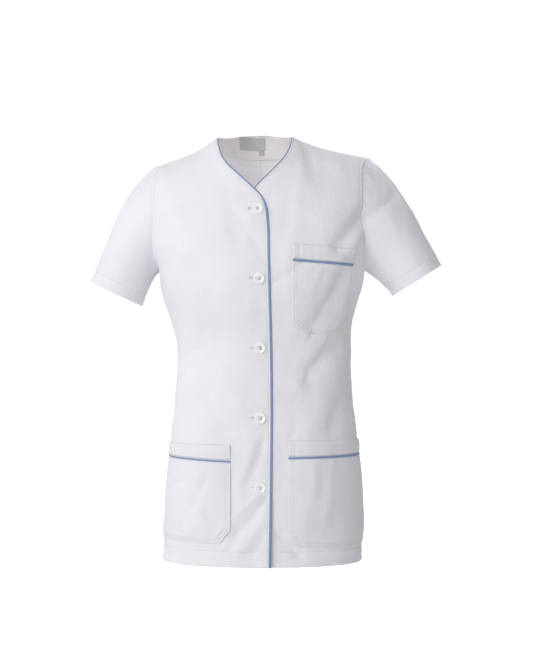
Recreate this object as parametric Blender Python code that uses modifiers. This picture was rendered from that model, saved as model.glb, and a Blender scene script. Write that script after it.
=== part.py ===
"""White work tunic with short sleeves, blue piping and five buttons, in the shape it has when worn.

The origin is midway between the shoulder seams, at their middle height. The front faces -Y and
the wearer's right is at -X. Tables give millimetres and degrees; other sizes are in metres.
"""
import math
from collections import namedtuple

import bmesh
import bpy
import numpy as np
from mathutils import Matrix, Vector
from mathutils.bvhtree import BVHTree

MM = 0.001

CLOTH = 1.2 * MM              # thickness of a panel, pocket or sleeve
TRIM = 1.0 * MM               # thickness of the facing, label and size tab
GAP = 0.3 * MM                # space kept between two pieces
LAP_LIFT = 2.0 * MM           # how far the upper front stands off the lower one at its edge
LAP_WIDTH = 42 * MM           # width beside the edge that has the whole lift
LAP_FADE = 60 * MM            # distance past it over which the lift fades out
LAP_TOP = -15 * MM            # height on the neckline where the lift has gone
LAP_FULL = -66 * MM           # height below which it is whole
PIPING_WIDTH = 4.0 * MM
UPPER_PIPING = 1.8 * MM       # thickness of the piping on the upper front
LOWER_PIPING = 1.2 * MM       # and on the lower one, which runs under it
PIPING_GAP = 0.4 * MM
LOWER_PIPING_END = -84 * MM
BUTTON_RADIUS = 9.5 * MM
BUTTON_THICK = 2.6 * MM
BUTTON_DISH = 0.8 * MM
HOLE_RADIUS = 1.0 * MM
HOLE_SPACING = 4.0 * MM

UNDERARM = -208 * MM          # height where the body meets the armholes
HEM = -711 * MM
LEVEL_HEIGHT = 260 * MM       # height of one level of the body's sections
HEM_LEVEL = (HEM - UNDERARM) / LEVEL_HEIGHT
ARMHOLE_CUT = 0.36            # how far the armhole reaches in, as a share of half the front
ARMHOLE_TIP = 0.05            # the same at the shoulder
SLEEVE_GAP = 0.6 * MM         # from an armhole's edge to its sleeve
BUTTON_GAP = 0.4 * MM
BACK_NECK_LEVEL = 0.84        # where the back neckline crosses the middle, from underarm to ridge
BACK_NECK_SHAPE = 2.3         # a higher number is flatter in the middle

LOWER_ROWS = 18               # rows of the body from hem to underarm
UPPER_ROWS = 14               # rows from underarm to shoulder
FRONT_COLUMNS = 12
NECK_COLUMNS = 4              # columns of the back that end on the neckline
SHOULDER_COLUMNS = 5          # columns of the back that end on the shoulder
SLEEVE_ROWS = 7

FRONT = -1
BACK = 1
RIGHT = -1                    # the wearer's right, at -X
LEFT = 1

# Level sections of the body from the hem up: half widths, depths and squareness of the outline.
Ring = namedtuple("Ring", "name height right left front back square")
BODY_RINGS = (
    Ring("hem", -711, 174, 171, 126, 130, 2.3),
    Ring("low hip", -647, 171, 173, 124, 132, 2.3),
    Ring("hip", -563, 165, 169, 119, 131, 2.3),
    Ring("high hip", -480, 157.5, 161.5, 114, 122, 2.3),
    Ring("waist", -395, 149.5, 153, 110, 106, 2.3),
    Ring("high waist", -353, 149.5, 153, 109, 99, 2.35),
    Ring("ribs", -322, 153, 153.5, 110, 96, 2.4),
    Ring("low bust", -294, 160, 154.5, 115, 97, 2.5),
    Ring("bust", -262, 170, 164, 121, 100, 2.6),
    Ring("high bust", -236, 176.5, 171.5, 124, 103, 2.7),
    Ring("underarm", -208, 179.5, 177, 125, 106, 2.8),
)

# Sections above the underarm. rise is 0 at the underarm and 1 at the shoulder ridge, and middle
# is where the middle of the section lies, because the shoulders lean to the wearer's right.
Yoke = namedtuple("Yoke", "name level rise middle right left front back square")
YOKE_RINGS = (
    Yoke("underarm", 0, 0, 0, 179.5, 177, 125, 106, 2.8),
    Yoke("low armhole", 0.167, 0.19, -2, 191, 183, 124, 109, 2.9),
    Yoke("armhole", 0.333, 0.38, -4, 200, 188, 117, 108, 3.0),
    Yoke("chest", 0.5, 0.565, -7, 204, 191, 103, 100, 3.0),
    Yoke("yoke", 0.667, 0.74, -10, 203, 191, 80, 84, 2.9),
    Yoke("crest", 0.833, 0.89, -13, 196, 188, 45, 55, 2.7),
    Yoke("ridge", 1, 1, -15, 188.5, 184, 0, 0, 2.5),
)

# The shoulder ridge, which carries the shoulder seams and runs on over the neck opening.
RidgePoint = namedtuple("RidgePoint", "name x height")
RIDGE = (
    RidgePoint("right tip", -188.5, -26.4),
    RidgePoint("right outer", -164, -18),
    RidgePoint("right middle", -126, -3.5),
    RidgePoint("right inner", -100, 10),
    RidgePoint("right neck", -79, 24.5),
    RidgePoint("centre", -15, 62),
    RidgePoint("left neck", 50, 26.5),
    RidgePoint("left inner", 72, 17),
    RidgePoint("left middle", 110, 3.5),
    RidgePoint("left outer", 150, -6),
    RidgePoint("left tip", 184, -12),
)

# Cloth edges of the two fronts, from hem to shoulder.
EdgePoint = namedtuple("EdgePoint", "name height x")
UPPER_EDGE = (
    EdgePoint("hem", -711, 15),
    EdgePoint("hip", -597, 16.5),
    EdgePoint("waist", -463, 17.7),
    EdgePoint("ribs", -295, 15.7),
    EdgePoint("chest", -194, 13.5),
    EdgePoint("above chest", -130, 11.5),
    EdgePoint("low bend", -108, 8.7),
    EdgePoint("bend", -94, 4.5),
    EdgePoint("high bend", -83, -2.5),
    EdgePoint("low neckline", -71, -14.5),
    EdgePoint("neckline", -53, -34),
    EdgePoint("high neckline", -32, -56),
    EdgePoint("near neck", -17, -67),
    EdgePoint("at neck", 4, -75),
    EdgePoint("neck", 24.5, -80),
)
LOWER_EDGE = (
    EdgePoint("hem", -711, -20),
    EdgePoint("hip", -500, -20),
    EdgePoint("ribs", -300, -20),
    EdgePoint("chest", -120, -20),
    EdgePoint("corner", -88, -18.5),
    EdgePoint("low neckline", -71, -7.6),
    EdgePoint("neckline", -40, 21.3),
    EdgePoint("high neckline", -20, 38.3),
    EdgePoint("near neck", 0, 48),
    EdgePoint("neck", 26.5, 51.5),
)

# Large folds seen from the front or the back, from one end of the middle line to the other.
# depth is outward where it is positive.
Fold = namedtuple("Fold", "name face x1 z1 x2 z2 width depth")
FOLDS = (
    Fold("chest pull beside the edge", FRONT, -52, -118, -24, -175, 15, -2.5),
    Fold("right armhole pull", FRONT, -172, -125, -85, -240, 17, -5.0),
    Fold("left armhole pull", FRONT, 172, -118, 132, -170, 13, -6.5),
    Fold("bust fold", FRONT, 138, -225, 85, -300, 18, -5.0),
    Fold("left waist crease", FRONT, 146, -325, 80, -388, 17, -5.5),
    Fold("left high hip crease", FRONT, 132, -432, 118, -478, 15, -3.0),
    Fold("right waist crease", FRONT, -112, -352, -60, -480, 20, -4.0),
    Fold("right side crease", FRONT, -150, -330, -95, -420, 15, -3.5),
    Fold("right hip ridge", FRONT, -75, -470, -110, -640, 30, 4.0),
    Fold("left hip ridge", FRONT, 95, -470, 75, -640, 30, 3.5),
    Fold("left shoulder trough", FRONT, 78, 0, 92, -58, 11, -2.5),
    Fold("right back waist crease", BACK, -140, -320, -50, -400, 20, -5.0),
    Fold("left back waist crease", BACK, 140, -325, 45, -410, 20, -5.0),
    Fold("right back armhole pull", BACK, -165, -120, -95, -230, 18, -4.5),
    Fold("left back armhole pull", BACK, 165, -115, 90, -225, 18, -4.5),
    Fold("right back hip ridge", BACK, -70, -430, -95, -660, 32, 4.5),
    Fold("left back hip ridge", BACK, 80, -440, 88, -670, 32, 4.5),
)

# Sleeves: place of the cuff's middle, its half width and half depth, and the angles from
# straight down at which the cloth leaves the underarm, leaves the shoulder and ends at the cuff.
Sleeve = namedtuple("Sleeve", "name side x y height half_width half_depth under over lean")
SLEEVES = (
    Sleeve("sleeve_right", RIGHT, -256.4, -6, -247.5, 50, 55, 42, 58, 26),
    Sleeve("sleeve_left", LEFT, 267.5, -6, -226, 51, 55, 44, 58, 32),
)

# Pocket outlines in front view. The seam under the band is where the piping lies, and a lower
# pocket runs on to the side seam.
Pocket = namedtuple(
    "Pocket",
    "name node_band node_piping side inner_top inner_low outer_top outer_low"
    " top_in top_out seam_in seam_out low_in low_out chamfer_x chamfer_z",
)
POCKETS = (
    Pocket("pocket_chest", "band_chest", "piping_chest", LEFT, 56, 53, 162, 143,
           -166.8, -172.5, -192, -200, -318.5, -318.5, 21, 20),
    Pocket("pocket_left", "band_left", "piping_pocket_left", LEFT, 47.3, 47.5, 300, 300,
           -498.5, -500, -525.5, -524, -676.5, -682, 15, 18),
    Pocket("pocket_right", "band_right", "piping_pocket_right", RIGHT, -49.4, -49, -300, -300,
           -505.4, -506, -531.5, -527, -672.5, -671, 19, 25),
)
POCKET_PIPING = 3.6 * MM      # width of the strip that shows
POCKET_PIPING_THICK = 1.8 * MM

ButtonSpot = namedtuple("ButtonSpot", "name x height")
BUTTONS = (
    ButtonSpot("button_1", -4.3, -107.8),
    ButtonSpot("button_2", -1.3, -225),
    ButtonSpot("button_3", 0, -342),
    ButtonSpot("button_4", 0.3, -460.5),
    ButtonSpot("button_5", 0.5, -577.5),
)

# Pieces inside the back neck: their sides and their top and bottom.
Patch = namedtuple("Patch", "name right left low high")
FACING = Patch("facing_back_neck", -118, 90, -7, 100)
RIDGE_MARGIN = 1.6 * MM       # distance they keep behind the shoulder seams
LABEL = Patch("label", -44.5, 1.5, 10.5, 31)
TAB = Patch("size_tab", -10, -1, 1.5, 10.2)

WHITE = (0.86, 0.86, 0.90)
TRIM_WHITE = (0.78, 0.77, 0.78)
BLUE = (0.25, 0.33, 0.62)
BUTTON_WHITE = (0.90, 0.90, 0.88)
LABEL_GREY = (0.50, 0.50, 0.53)


def along(at, places, values):
    """Value at a place between table rows, on a smooth curve through them."""
    at = min(max(at, places[0]), places[-1])
    i = int(np.clip(np.searchsorted(places, at) - 1, 0, len(places) - 2))
    slopes = np.gradient(values, places)
    step = places[i + 1] - places[i]
    t = (at - places[i]) / step
    start = values[i] * (2 * t**3 - 3 * t**2 + 1) + slopes[i] * step * (t**3 - 2 * t**2 + t)
    end = values[i + 1] * (3 * t**2 - 2 * t**3) + slopes[i + 1] * step * (t**3 - t**2)
    return start + end


def column(rows, name):
    """One named column of a table, as an array."""
    return np.array([getattr(row, name) for row in rows], dtype=float)


def read(rows, key, at, names):
    """Values of the named columns at a place in the key column."""
    places = column(rows, key)
    return [along(at, places, column(rows, name)) for name in names]


def ease(value):
    """0 to 1 with soft ends."""
    value = min(max(value, 0.0), 1.0)
    return value * value * (3 - 2 * value)


def body_sections():
    """Sections of the whole body by level: 0 is the underarm and 1 the shoulder ridge."""
    names = ("middle", "right", "left", "front", "back", "square")
    levels = [(ring.height * MM - UNDERARM) / LEVEL_HEIGHT for ring in BODY_RINGS[:-1]]
    levels += [ring.level for ring in YOKE_RINGS]
    rows = [[getattr(ring, name, 0.0) for name in names] for ring in BODY_RINGS[:-1] + YOKE_RINGS]
    return np.array(levels), np.array(rows, dtype=float).T


SECTION_LEVELS, SECTION_SIZES = body_sections()


def ring_spot(face, across, level):
    """x and y on one section, in millimetres."""
    middle, right, left, front, back, square = [
        along(level, SECTION_LEVELS, sizes) for sizes in SECTION_SIZES
    ]
    s = math.sin(abs(across) * math.pi / 2)
    c = max(0.0, math.cos(across * math.pi / 2))
    reach = (s**square + c**square) ** (-1 / square)
    side = left if across >= 0 else -right
    depth = back if face == BACK else -front
    return middle * c**2 + side * reach * s, depth * reach * c


def smooth_spot(face, across, level):
    """Point on the inside of the cloth before folds.

    across runs from -1 at the wearer's right side seam to 1 at the left one, and level from
    HEM_LEVEL through 0 at the underarm to 1 at the shoulder ridge.
    """
    x, y = ring_spot(face, across, level)
    if level <= 0:
        return np.array([x * MM, y * MM, UNDERARM + level * LEVEL_HEIGHT])
    ridge_x, _ = ring_spot(face, across, 1)
    (ridge,) = read(RIDGE, "x", ridge_x, ("height",))
    (rise,) = read(YOKE_RINGS, "level", level, ("rise",))
    height = ridge * MM - UNDERARM
    start_slope = YOKE_RINGS[1].rise / YOKE_RINGS[1].level * height
    ease_in = (LEVEL_HEIGHT - start_slope) * level * (1 - level) ** 3
    return np.array([x * MM, y * MM, UNDERARM + rise * height + ease_in])


def outward(face, across, level):
    """Unit direction out of the cloth."""
    step = 0.004
    wide = smooth_spot(face, min(across + step, 1), level)
    wide = wide - smooth_spot(face, max(across - step, -1), level)
    high = min(level + step, 1)
    tall = smooth_spot(face, across, high) - smooth_spot(face, across, high - 2 * step)
    normal = np.cross(wide, tall) * -face
    return normal / np.linalg.norm(normal)


def fold_depth(spot, face):
    """Sum of the folds at a point of the cloth."""
    total = 0.0
    for fold in FOLDS:
        start = np.array([fold.x1, fold.z1]) * MM
        run = np.array([fold.x2, fold.z2]) * MM - start
        share = np.dot(spot[[0, 2]] - start, run) / np.dot(run, run)
        nearest = start + run * min(max(share, 0.0), 1.0)
        away = np.linalg.norm(spot[[0, 2]] - nearest) / (fold.width * MM)
        on_face = ease(0.5 + spot[1] * fold.face / (40 * MM))
        total += fold.depth * MM * math.exp(-away * away) * on_face
    return total


def cloth_spot(face, across, level, lift=0.0):
    """Point on the inside of the cloth, with its folds."""
    spot = smooth_spot(face, across, level)
    return spot + outward(face, across, level) * (fold_depth(spot, face) + lift)


def armhole_across(level):
    """Where the armhole crosses a level, as a share of half the panel's width."""
    arch = math.sqrt(max(0.0, 4 * level * (1 - level)))
    return 1 - ARMHOLE_CUT * arch - ARMHOLE_TIP * level**2


def row_levels():
    """Levels of the rows: even up to the underarm, then closer at both ends of the armhole."""
    lower = [HEM_LEVEL * (1 - i / LOWER_ROWS) for i in range(LOWER_ROWS)]
    upper = [(1 - math.cos(math.pi * i / UPPER_ROWS)) / 2 for i in range(UPPER_ROWS + 1)]
    return lower + upper


def edge_across(level, edge):
    """Where a front edge crosses a level."""
    low, high = -0.9, 0.9
    for _ in range(30):
        middle = (low + high) / 2
        x, _, height = smooth_spot(FRONT, middle, level)
        (edge_x,) = read(edge, "height", height / MM, ("x",))
        if x < edge_x * MM:
            low = middle
        else:
            high = middle
    return (low + high) / 2


def lap_lift(spot, edge_spot):
    """How far the upper front stands off the lower one."""
    beside = ease(1 - (np.linalg.norm(spot - edge_spot) - LAP_WIDTH) / LAP_FADE)
    return LAP_LIFT * beside * ease((LAP_TOP - edge_spot[2]) / (LAP_TOP - LAP_FULL))


def front_points(side):
    """Rows of points over one front, from its edge to its side seam and armhole."""
    edge = UPPER_EDGE if side == RIGHT else LOWER_EDGE
    rows = []
    for level in row_levels():
        inner = edge_across(level, edge)
        outer = side * (armhole_across(level) if level > 0 else 1)
        edge_spot = smooth_spot(FRONT, inner, level)
        row = []
        for i in range(FRONT_COLUMNS + 1):
            across = inner + (outer - inner) * i / FRONT_COLUMNS
            lift = lap_lift(smooth_spot(FRONT, across, level), edge_spot) if side == RIGHT else 0.0
            row.append(cloth_spot(FRONT, across, level, lift))
        rows.append(row)
    return np.array(rows)


def back_points(side):
    """Rows of points over half the back, from the centre seam to the side seam and armhole."""
    neck = abs(edge_across(1, UPPER_EDGE if side == RIGHT else LOWER_EDGE))
    top = []
    for i in range(NECK_COLUMNS):
        share = i / NECK_COLUMNS
        level = BACK_NECK_LEVEL + (1 - BACK_NECK_LEVEL) * share**BACK_NECK_SHAPE
        top.append((neck * share, level))
    for i in range(SHOULDER_COLUMNS + 1):
        top.append((neck + (armhole_across(1) - neck) * i / SHOULDER_COLUMNS, 1.0))
    rows = []
    for level in row_levels():
        row = []
        for i, (top_across, top_level) in enumerate(top):
            share = i / (len(top) - 1)
            if level <= 0:
                row.append(cloth_spot(BACK, side * share, level))
                continue
            across = share + level * (top_across - share)
            across += share**4 * (armhole_across(level) - 1 + ARMHOLE_TIP * level)
            row.append(cloth_spot(BACK, side * across, level * top_level))
        rows.append(row)
    return np.array(rows)


def pull_in(points, edges):
    """Move the named edges of a grid in by half the gap."""
    points = points.copy()
    inner = {
        "first column": ((slice(None), 0), (slice(None), 1)),
        "last column below the armhole": (
            (slice(0, LOWER_ROWS + 1), -1), (slice(0, LOWER_ROWS + 1), -2)
        ),
        "top row": ((-1, slice(None)), (-2, slice(None))),
    }
    for name in edges:
        edge, beside = inner[name]
        step = points[beside] - points[edge]
        step = step / np.linalg.norm(step, axis=-1, keepdims=True)
        points[edge] = points[edge] + step * GAP / 2
    return points


def sheet_mesh(name, points, flip=False, wrap=False):
    """Mesh of triangles over a grid of points."""
    rows, columns = points.shape[:2]
    mesh = bpy.data.meshes.new(name)
    faces = []
    for r in range(rows - 1):
        for c in range(columns if wrap else columns - 1):
            right = (c + 1) % columns
            a, b = r * columns + c, r * columns + right
            d, e = a + columns, b + columns
            faces += [(a, b, e), (a, e, d)]
    if flip:
        faces = [face[::-1] for face in faces]
    mesh.from_pydata(points.reshape(-1, 3).tolist(), [], faces)
    mesh.update()
    return mesh


def make_material(name, colour, roughness):
    """Plain material for one piece."""
    material = bpy.data.materials.new(name)
    material.use_nodes = True
    shader = material.node_tree.nodes["Principled BSDF"]
    shader.inputs["Base Color"].default_value = (*colour, 1)
    shader.inputs["Roughness"].default_value = roughness
    shader.inputs["Metallic"].default_value = 0.0
    return material


def add_piece(collection, name, mesh, colour, roughness=0.9):
    """Object with its own material, in the tunic's collection."""
    mesh.name = name
    piece = bpy.data.objects.new(name, mesh)
    mesh.materials.clear()
    mesh.materials.append(make_material(name, colour, roughness))
    collection.objects.link(piece)
    mesh.shade_smooth()
    mesh.set_sharp_from_angle(angle=math.radians(40))
    return piece


def thicken(piece, thickness, outside):
    """Give an open sheet its thickness, outward or inward."""
    shell = piece.modifiers.new("Cloth", "SOLIDIFY")
    shell.thickness = thickness
    shell.offset = 1 if outside else -1
    shell.use_even_offset = False
    shell.use_rim = True
    return piece


def line_cut(x1, z1, x2, z2, keep_x, keep_z):
    """Upright plane through two points of the front view, with its normal away from the kept side."""
    point = Vector((x1 * MM, 0, z1 * MM))
    normal = Vector((z2 - z1, 0, x1 - x2)).normalized()
    if normal.dot(Vector((keep_x * MM, 0, keep_z * MM)) - point) > 0:
        normal = -normal
    return point, normal


def piece_on(collection, name, base, distance, cuts, thickness, outside, colour):
    """Piece made from a sheet's own points, moved off it and cut to its outline."""
    work = bmesh.new()
    work.from_mesh(base)
    work.normal_update()
    moves = [(vert, vert.normal * distance) for vert in work.verts]
    for vert, move in moves:
        vert.co += move
    for point, normal in cuts:
        work_geometry = work.verts[:] + work.edges[:] + work.faces[:]
        bmesh.ops.bisect_plane(
            work, geom=work_geometry, dist=1e-6, plane_co=point, plane_no=normal, clear_outer=True
        )
    bmesh.ops.dissolve_degenerate(work, dist=0.00015, edges=work.edges[:])
    bmesh.ops.triangulate(work, faces=work.faces[:])
    mesh = bpy.data.meshes.new(name)
    work.to_mesh(mesh)
    work.free()
    return thicken(add_piece(collection, name, mesh, colour), thickness, outside)


def make_pocket(collection, pocket, front):
    """A patch pocket, the band along its top and the piping under the band."""
    p = pocket
    middle_x = (p.inner_top + min(abs(p.outer_top), 150) * p.side) / 2
    seam = (p.seam_in + p.seam_out) / 2
    inside = line_cut(p.inner_top, p.top_in, p.inner_low, p.low_in, middle_x, seam)
    outside = line_cut(p.outer_top, p.top_out, p.outer_low, p.low_out, middle_x, seam)
    strip = POCKET_PIPING / MM
    gap = GAP / MM

    def level_cut(drop, keep):
        return line_cut(
            p.inner_top, p.seam_in - drop, p.side * 170, p.seam_out - drop, middle_x, seam + keep
        )

    corner_x = p.inner_low + p.side * p.chamfer_x
    corner = line_cut(
        p.inner_low, p.low_in + p.chamfer_z, corner_x, p.low_in, middle_x, seam
    )
    bottom = line_cut(p.inner_low, p.low_in, p.side * 170, p.low_out, middle_x, seam)
    top = line_cut(p.inner_top, p.top_in, p.side * 170, p.top_out, middle_x, seam)
    off = CLOTH + GAP
    body_cuts = [inside, outside, level_cut(strip + gap, -50), bottom, corner]
    piece_on(collection, p.name, front, off, body_cuts, CLOTH, True, WHITE)
    strip_cuts = [inside, outside, level_cut(0, -50), level_cut(strip, 50)]
    piece_on(
        collection, p.node_piping, front, off, strip_cuts, POCKET_PIPING_THICK, True, BLUE
    )
    band_cuts = [inside, outside, level_cut(-gap, 50), top]
    piece_on(collection, p.node_band, front, off, band_cuts, CLOTH, True, WHITE)


def make_patch(collection, patch, base, distance, thickness, colour):
    """A flat-sided piece on the inside of the back."""
    p = patch
    cuts = [
        (Vector((p.right * MM, 0, 0)), Vector((-1, 0, 0))),
        (Vector((p.left * MM, 0, 0)), Vector((1, 0, 0))),
        (Vector((0, 0, p.low * MM)), Vector((0, 0, -1))),
        (Vector((0, 0, p.high * MM)), Vector((0, 0, 1))),
        (Vector((0, RIDGE_MARGIN, 0)), Vector((0, -1, 0))),
    ]
    return piece_on(collection, p.name, base, -distance, cuts, thickness, False, colour)


def edge_piping(collection, name, front, start_height, thickness, side):
    """Strip beside a front's edge, from a height up to the shoulder."""
    columns = FRONT_COLUMNS + 1
    verts = front.vertices
    firsts = [i for i in range(0, len(verts), columns) if verts[i].co.z >= start_height]
    spots = [np.array(verts[i].co) for i in firsts]
    rows = []
    for n, i in enumerate(firsts):
        run = spots[min(n + 1, len(spots) - 1)] - spots[max(n - 1, 0)]
        run = run / np.linalg.norm(run)
        out = np.array(verts[i].normal)
        away = np.cross(run, out) * -side
        away = away / np.linalg.norm(away)
        spot = spots[n]
        rows.append([spot + away * PIPING_GAP, spot + away * (PIPING_GAP + PIPING_WIDTH)])
    mesh = sheet_mesh(name, np.array(rows), flip=side == LEFT)
    return thicken(add_piece(collection, name, mesh, BLUE, 0.8), thickness, True)


def armhole_rim(front, back):
    """Outer corners of the armhole, up the front and down the back.

    Each has the direction out of the cloth and the direction away from the panel.
    """
    parts = []
    for mesh, columns in ((front, FRONT_COLUMNS + 1), (back, NECK_COLUMNS + SHOULDER_COLUMNS + 1)):
        rim = []
        last_rows = range(LOWER_ROWS, LOWER_ROWS + UPPER_ROWS + 1)
        spots = [np.array(mesh.vertices[r * columns + columns - 1].co) for r in last_rows]
        for n, r in enumerate(last_rows):
            vert = mesh.vertices[r * columns + columns - 1]
            beside = np.array(mesh.vertices[r * columns + columns - 2].co)
            out = np.array(vert.normal)
            run = spots[min(n + 1, len(spots) - 1)] - spots[max(n - 1, 0)]
            away = np.cross(run, out)
            away = away * np.sign(np.dot(away, spots[n] - beside))
            rim.append((spots[n] + out * CLOTH, out, away / np.linalg.norm(away)))
        parts.append(rim)
    up, down = parts[0], parts[1][::-1]
    joined = []
    for one, other in ((parts[0][0], parts[1][0]), (parts[0][-1], parts[1][-1])):
        joined.append([(a + b) / 2 for a, b in zip(one, other)])
    return [joined[0]] + up[1:-1] + [joined[1]] + down[1:-1]


def unit(vector):
    return vector / np.linalg.norm(vector)


def sleeve_points(sleeve, rim):
    """Rings of points on the outside of a sleeve, from the armhole to the cuff."""
    count = len(rim)
    side = sleeve.side
    lean = math.radians(sleeve.lean)
    axis = np.array([side * math.sin(lean), 0, -math.cos(lean)])
    up_cuff = np.array([side * math.cos(lean), 0, math.sin(lean)])
    cuff = np.array([sleeve.x, sleeve.y, sleeve.height]) * MM
    low = rim[0][0][2]
    high = rim[count // 2][0][2]
    rings = [[] for _ in range(SLEEVE_ROWS + 1)]
    for k, (corner, out, away) in enumerate(rim):
        run = rim[(k + 1) % count][0] - rim[k - 1][0]
        share = (corner[2] - low) / (high - low)
        angle = math.radians(sleeve.under + (sleeve.over - sleeve.under) * share)
        leave = np.array([side * math.sin(angle), 0, -math.cos(angle)])
        face_out = unit(np.cross(leave, run)) * side
        leave_flat = unit(leave - unit(run) * np.dot(leave, unit(run)))
        if np.dot(leave_flat, away) >= 0:
            start = corner + away * (SLEEVE_GAP + CLOTH * max(0.0, np.dot(face_out, away)))
        else:
            start = corner - face_out * SLEEVE_GAP
        turn = math.pi - 2 * math.pi * k / count
        end = cuff + up_cuff * sleeve.half_width * MM * math.cos(turn)
        end = end - np.array([0, 1, 0]) * sleeve.half_depth * MM * math.sin(turn)
        reach = np.linalg.norm(end - start)
        for r in range(SLEEVE_ROWS + 1):
            t = r / SLEEVE_ROWS
            point = start * (2 * t**3 - 3 * t**2 + 1) + end * (3 * t**2 - 2 * t**3)
            point = point + leave * reach * (t**3 - 2 * t**2 + t) + axis * reach * (t**3 - t**2)
            rings[r].append(point)
    return np.array(rings)


def make_sleeve(collection, sleeve, rim):
    """A sleeve, one tube that starts beside the armhole's outer corner."""
    mesh = sheet_mesh(sleeve.name, sleeve_points(sleeve, rim), flip=sleeve.side == LEFT, wrap=True)
    return thicken(add_piece(collection, sleeve.name, mesh, WHITE), CLOTH, False)


def button_seat(front, spot):
    """Place and turn for a button's back, resting on the highest cloth under it."""
    work = bmesh.new()
    work.from_mesh(front)
    tree = BVHTree.FromBMesh(work)
    work.free()
    hits = []
    for k in range(9):
        angle = math.pi * k / 4
        reach = BUTTON_RADIUS * 0.95 if k < 8 else 0.0
        x = spot.x * MM + reach * math.cos(angle)
        z = spot.height * MM + reach * math.sin(angle)
        place, _, _, _ = tree.ray_cast(Vector((x, -1, z)), Vector((0, 1, 0)))
        hits.append(place)
    normal = Vector((0, 0, 0))
    for k in range(8):
        normal += (hits[k] - hits[8]).cross(hits[(k + 1) % 8] - hits[8])
    normal.normalize()
    if normal.y > 0:
        normal = -normal
    highest = max((hit - hits[8]).dot(normal) for hit in hits)
    place = hits[8] + normal * (highest + CLOTH + BUTTON_GAP)
    return Matrix.Translation(place) @ normal.to_track_quat("Z", "Y").to_matrix().to_4x4()


def make_button(collection, cutters, spot, front):
    """A four-hole button with a dished face."""
    radius, thick = BUTTON_RADIUS, BUTTON_THICK
    profile = [
        (0, thick - BUTTON_DISH),
        (radius * 0.66, thick - BUTTON_DISH),
        (radius * 0.84, thick),
        (radius, thick * 0.6),
        (radius * 0.93, 0),
        (0, 0),
    ]
    mesh = bpy.data.meshes.new(spot.name)
    edges = [(i, i + 1) for i in range(len(profile) - 1)]
    mesh.from_pydata([(x, 0, z) for x, z in profile], edges, [])
    button = add_piece(collection, spot.name, mesh, BUTTON_WHITE, 0.35)
    turn = button.modifiers.new("Turn", "SCREW")
    turn.steps = 14
    turn.render_steps = 14
    turn.use_merge_vertices = True
    turn.merge_threshold = 0.00001
    turn.use_smooth_shade = True
    button.matrix_world = button_seat(front, spot)
    for k in range(4):
        angle = math.pi / 4 + math.pi * k / 2
        reach = HOLE_SPACING / math.sqrt(2)
        bpy.ops.mesh.primitive_cylinder_add(vertices=6, radius=HOLE_RADIUS, depth=4 * thick)
        cutter = bpy.context.object
        cutter.name = f"{spot.name}_hole_{k + 1}"
        for owner in list(cutter.users_collection):
            owner.objects.unlink(cutter)
        cutters.objects.link(cutter)
        cutter.hide_render = True
        cutter.display_type = "WIRE"
        offset = Matrix.Translation((reach * math.cos(angle), reach * math.sin(angle), 0))
        cutter.matrix_world = button.matrix_world @ offset
        hole = button.modifiers.new(f"Hole {k + 1}", "BOOLEAN")
        hole.operation = "DIFFERENCE"
        hole.solver = "EXACT"
        hole.object = cutter
    return button


def whole_back(right, left):
    """Both halves of the back as one sheet, for what lies inside the neck."""
    work = bmesh.new()
    for points, flip in ((right, False), (left, True)):
        mesh = sheet_mesh("half", pull_in(points, ["top row"]), flip=flip)
        work.from_mesh(mesh)
        bpy.data.meshes.remove(mesh)
    bmesh.ops.remove_doubles(work, verts=work.verts[:], dist=0.00001)
    mesh = bpy.data.meshes.new("whole back")
    work.to_mesh(mesh)
    work.free()
    return mesh


def clear_scene():
    """Start from nothing."""
    for thing in list(bpy.data.objects):
        bpy.data.objects.remove(thing, do_unlink=True)


def main():
    clear_scene()
    tunic = bpy.data.collections.new("work_tunic")
    cutters = bpy.data.collections.new("cutters")
    bpy.context.scene.collection.children.link(tunic)
    bpy.context.scene.collection.children.link(cutters)

    seams = ["last column below the armhole", "top row"]
    fronts = {}
    for name, side in (("front_right", RIGHT), ("front_left", LEFT)):
        fronts[side] = sheet_mesh(name, pull_in(front_points(side), seams), flip=side == RIGHT)
        thicken(add_piece(tunic, name, fronts[side], WHITE), CLOTH, True)

    backs = {}
    halves = {side: back_points(side) for side in (RIGHT, LEFT)}
    for name, side in (("back_right", RIGHT), ("back_left", LEFT)):
        points = pull_in(halves[side], seams + ["first column"])
        backs[side] = sheet_mesh(name, points, flip=side == LEFT)
        thicken(add_piece(tunic, name, backs[side], WHITE), CLOTH, True)

    for sleeve in SLEEVES:
        make_sleeve(tunic, sleeve, armhole_rim(fronts[sleeve.side], backs[sleeve.side]))

    edge_piping(tunic, "piping_front_right", fronts[RIGHT], HEM - GAP, UPPER_PIPING, RIGHT)
    edge_piping(tunic, "piping_front_left", fronts[LEFT], LOWER_PIPING_END, LOWER_PIPING, LEFT)

    for pocket in POCKETS:
        make_pocket(tunic, pocket, fronts[pocket.side])

    back = whole_back(halves[RIGHT], halves[LEFT])
    make_patch(tunic, FACING, back, GAP, TRIM, TRIM_WHITE)
    make_patch(tunic, LABEL, back, 2 * GAP + TRIM, TRIM, LABEL_GREY)
    make_patch(tunic, TAB, back, 2 * GAP + TRIM, TRIM, LABEL_GREY)
    bpy.data.meshes.remove(back)

    for spot in BUTTONS:
        make_button(tunic, cutters, spot, fronts[RIGHT])


main()
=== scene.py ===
"""Looks of the white work tunic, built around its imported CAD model.

Left and right are the wearer's. Tables give millimetres and degrees; other sizes are in metres.
"""
import functools
import math
from collections import namedtuple

import bmesh
import bpy
import numpy as np
from bpy.props import FloatProperty, FloatVectorProperty, PointerProperty
from mathutils import Matrix, Vector


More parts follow.
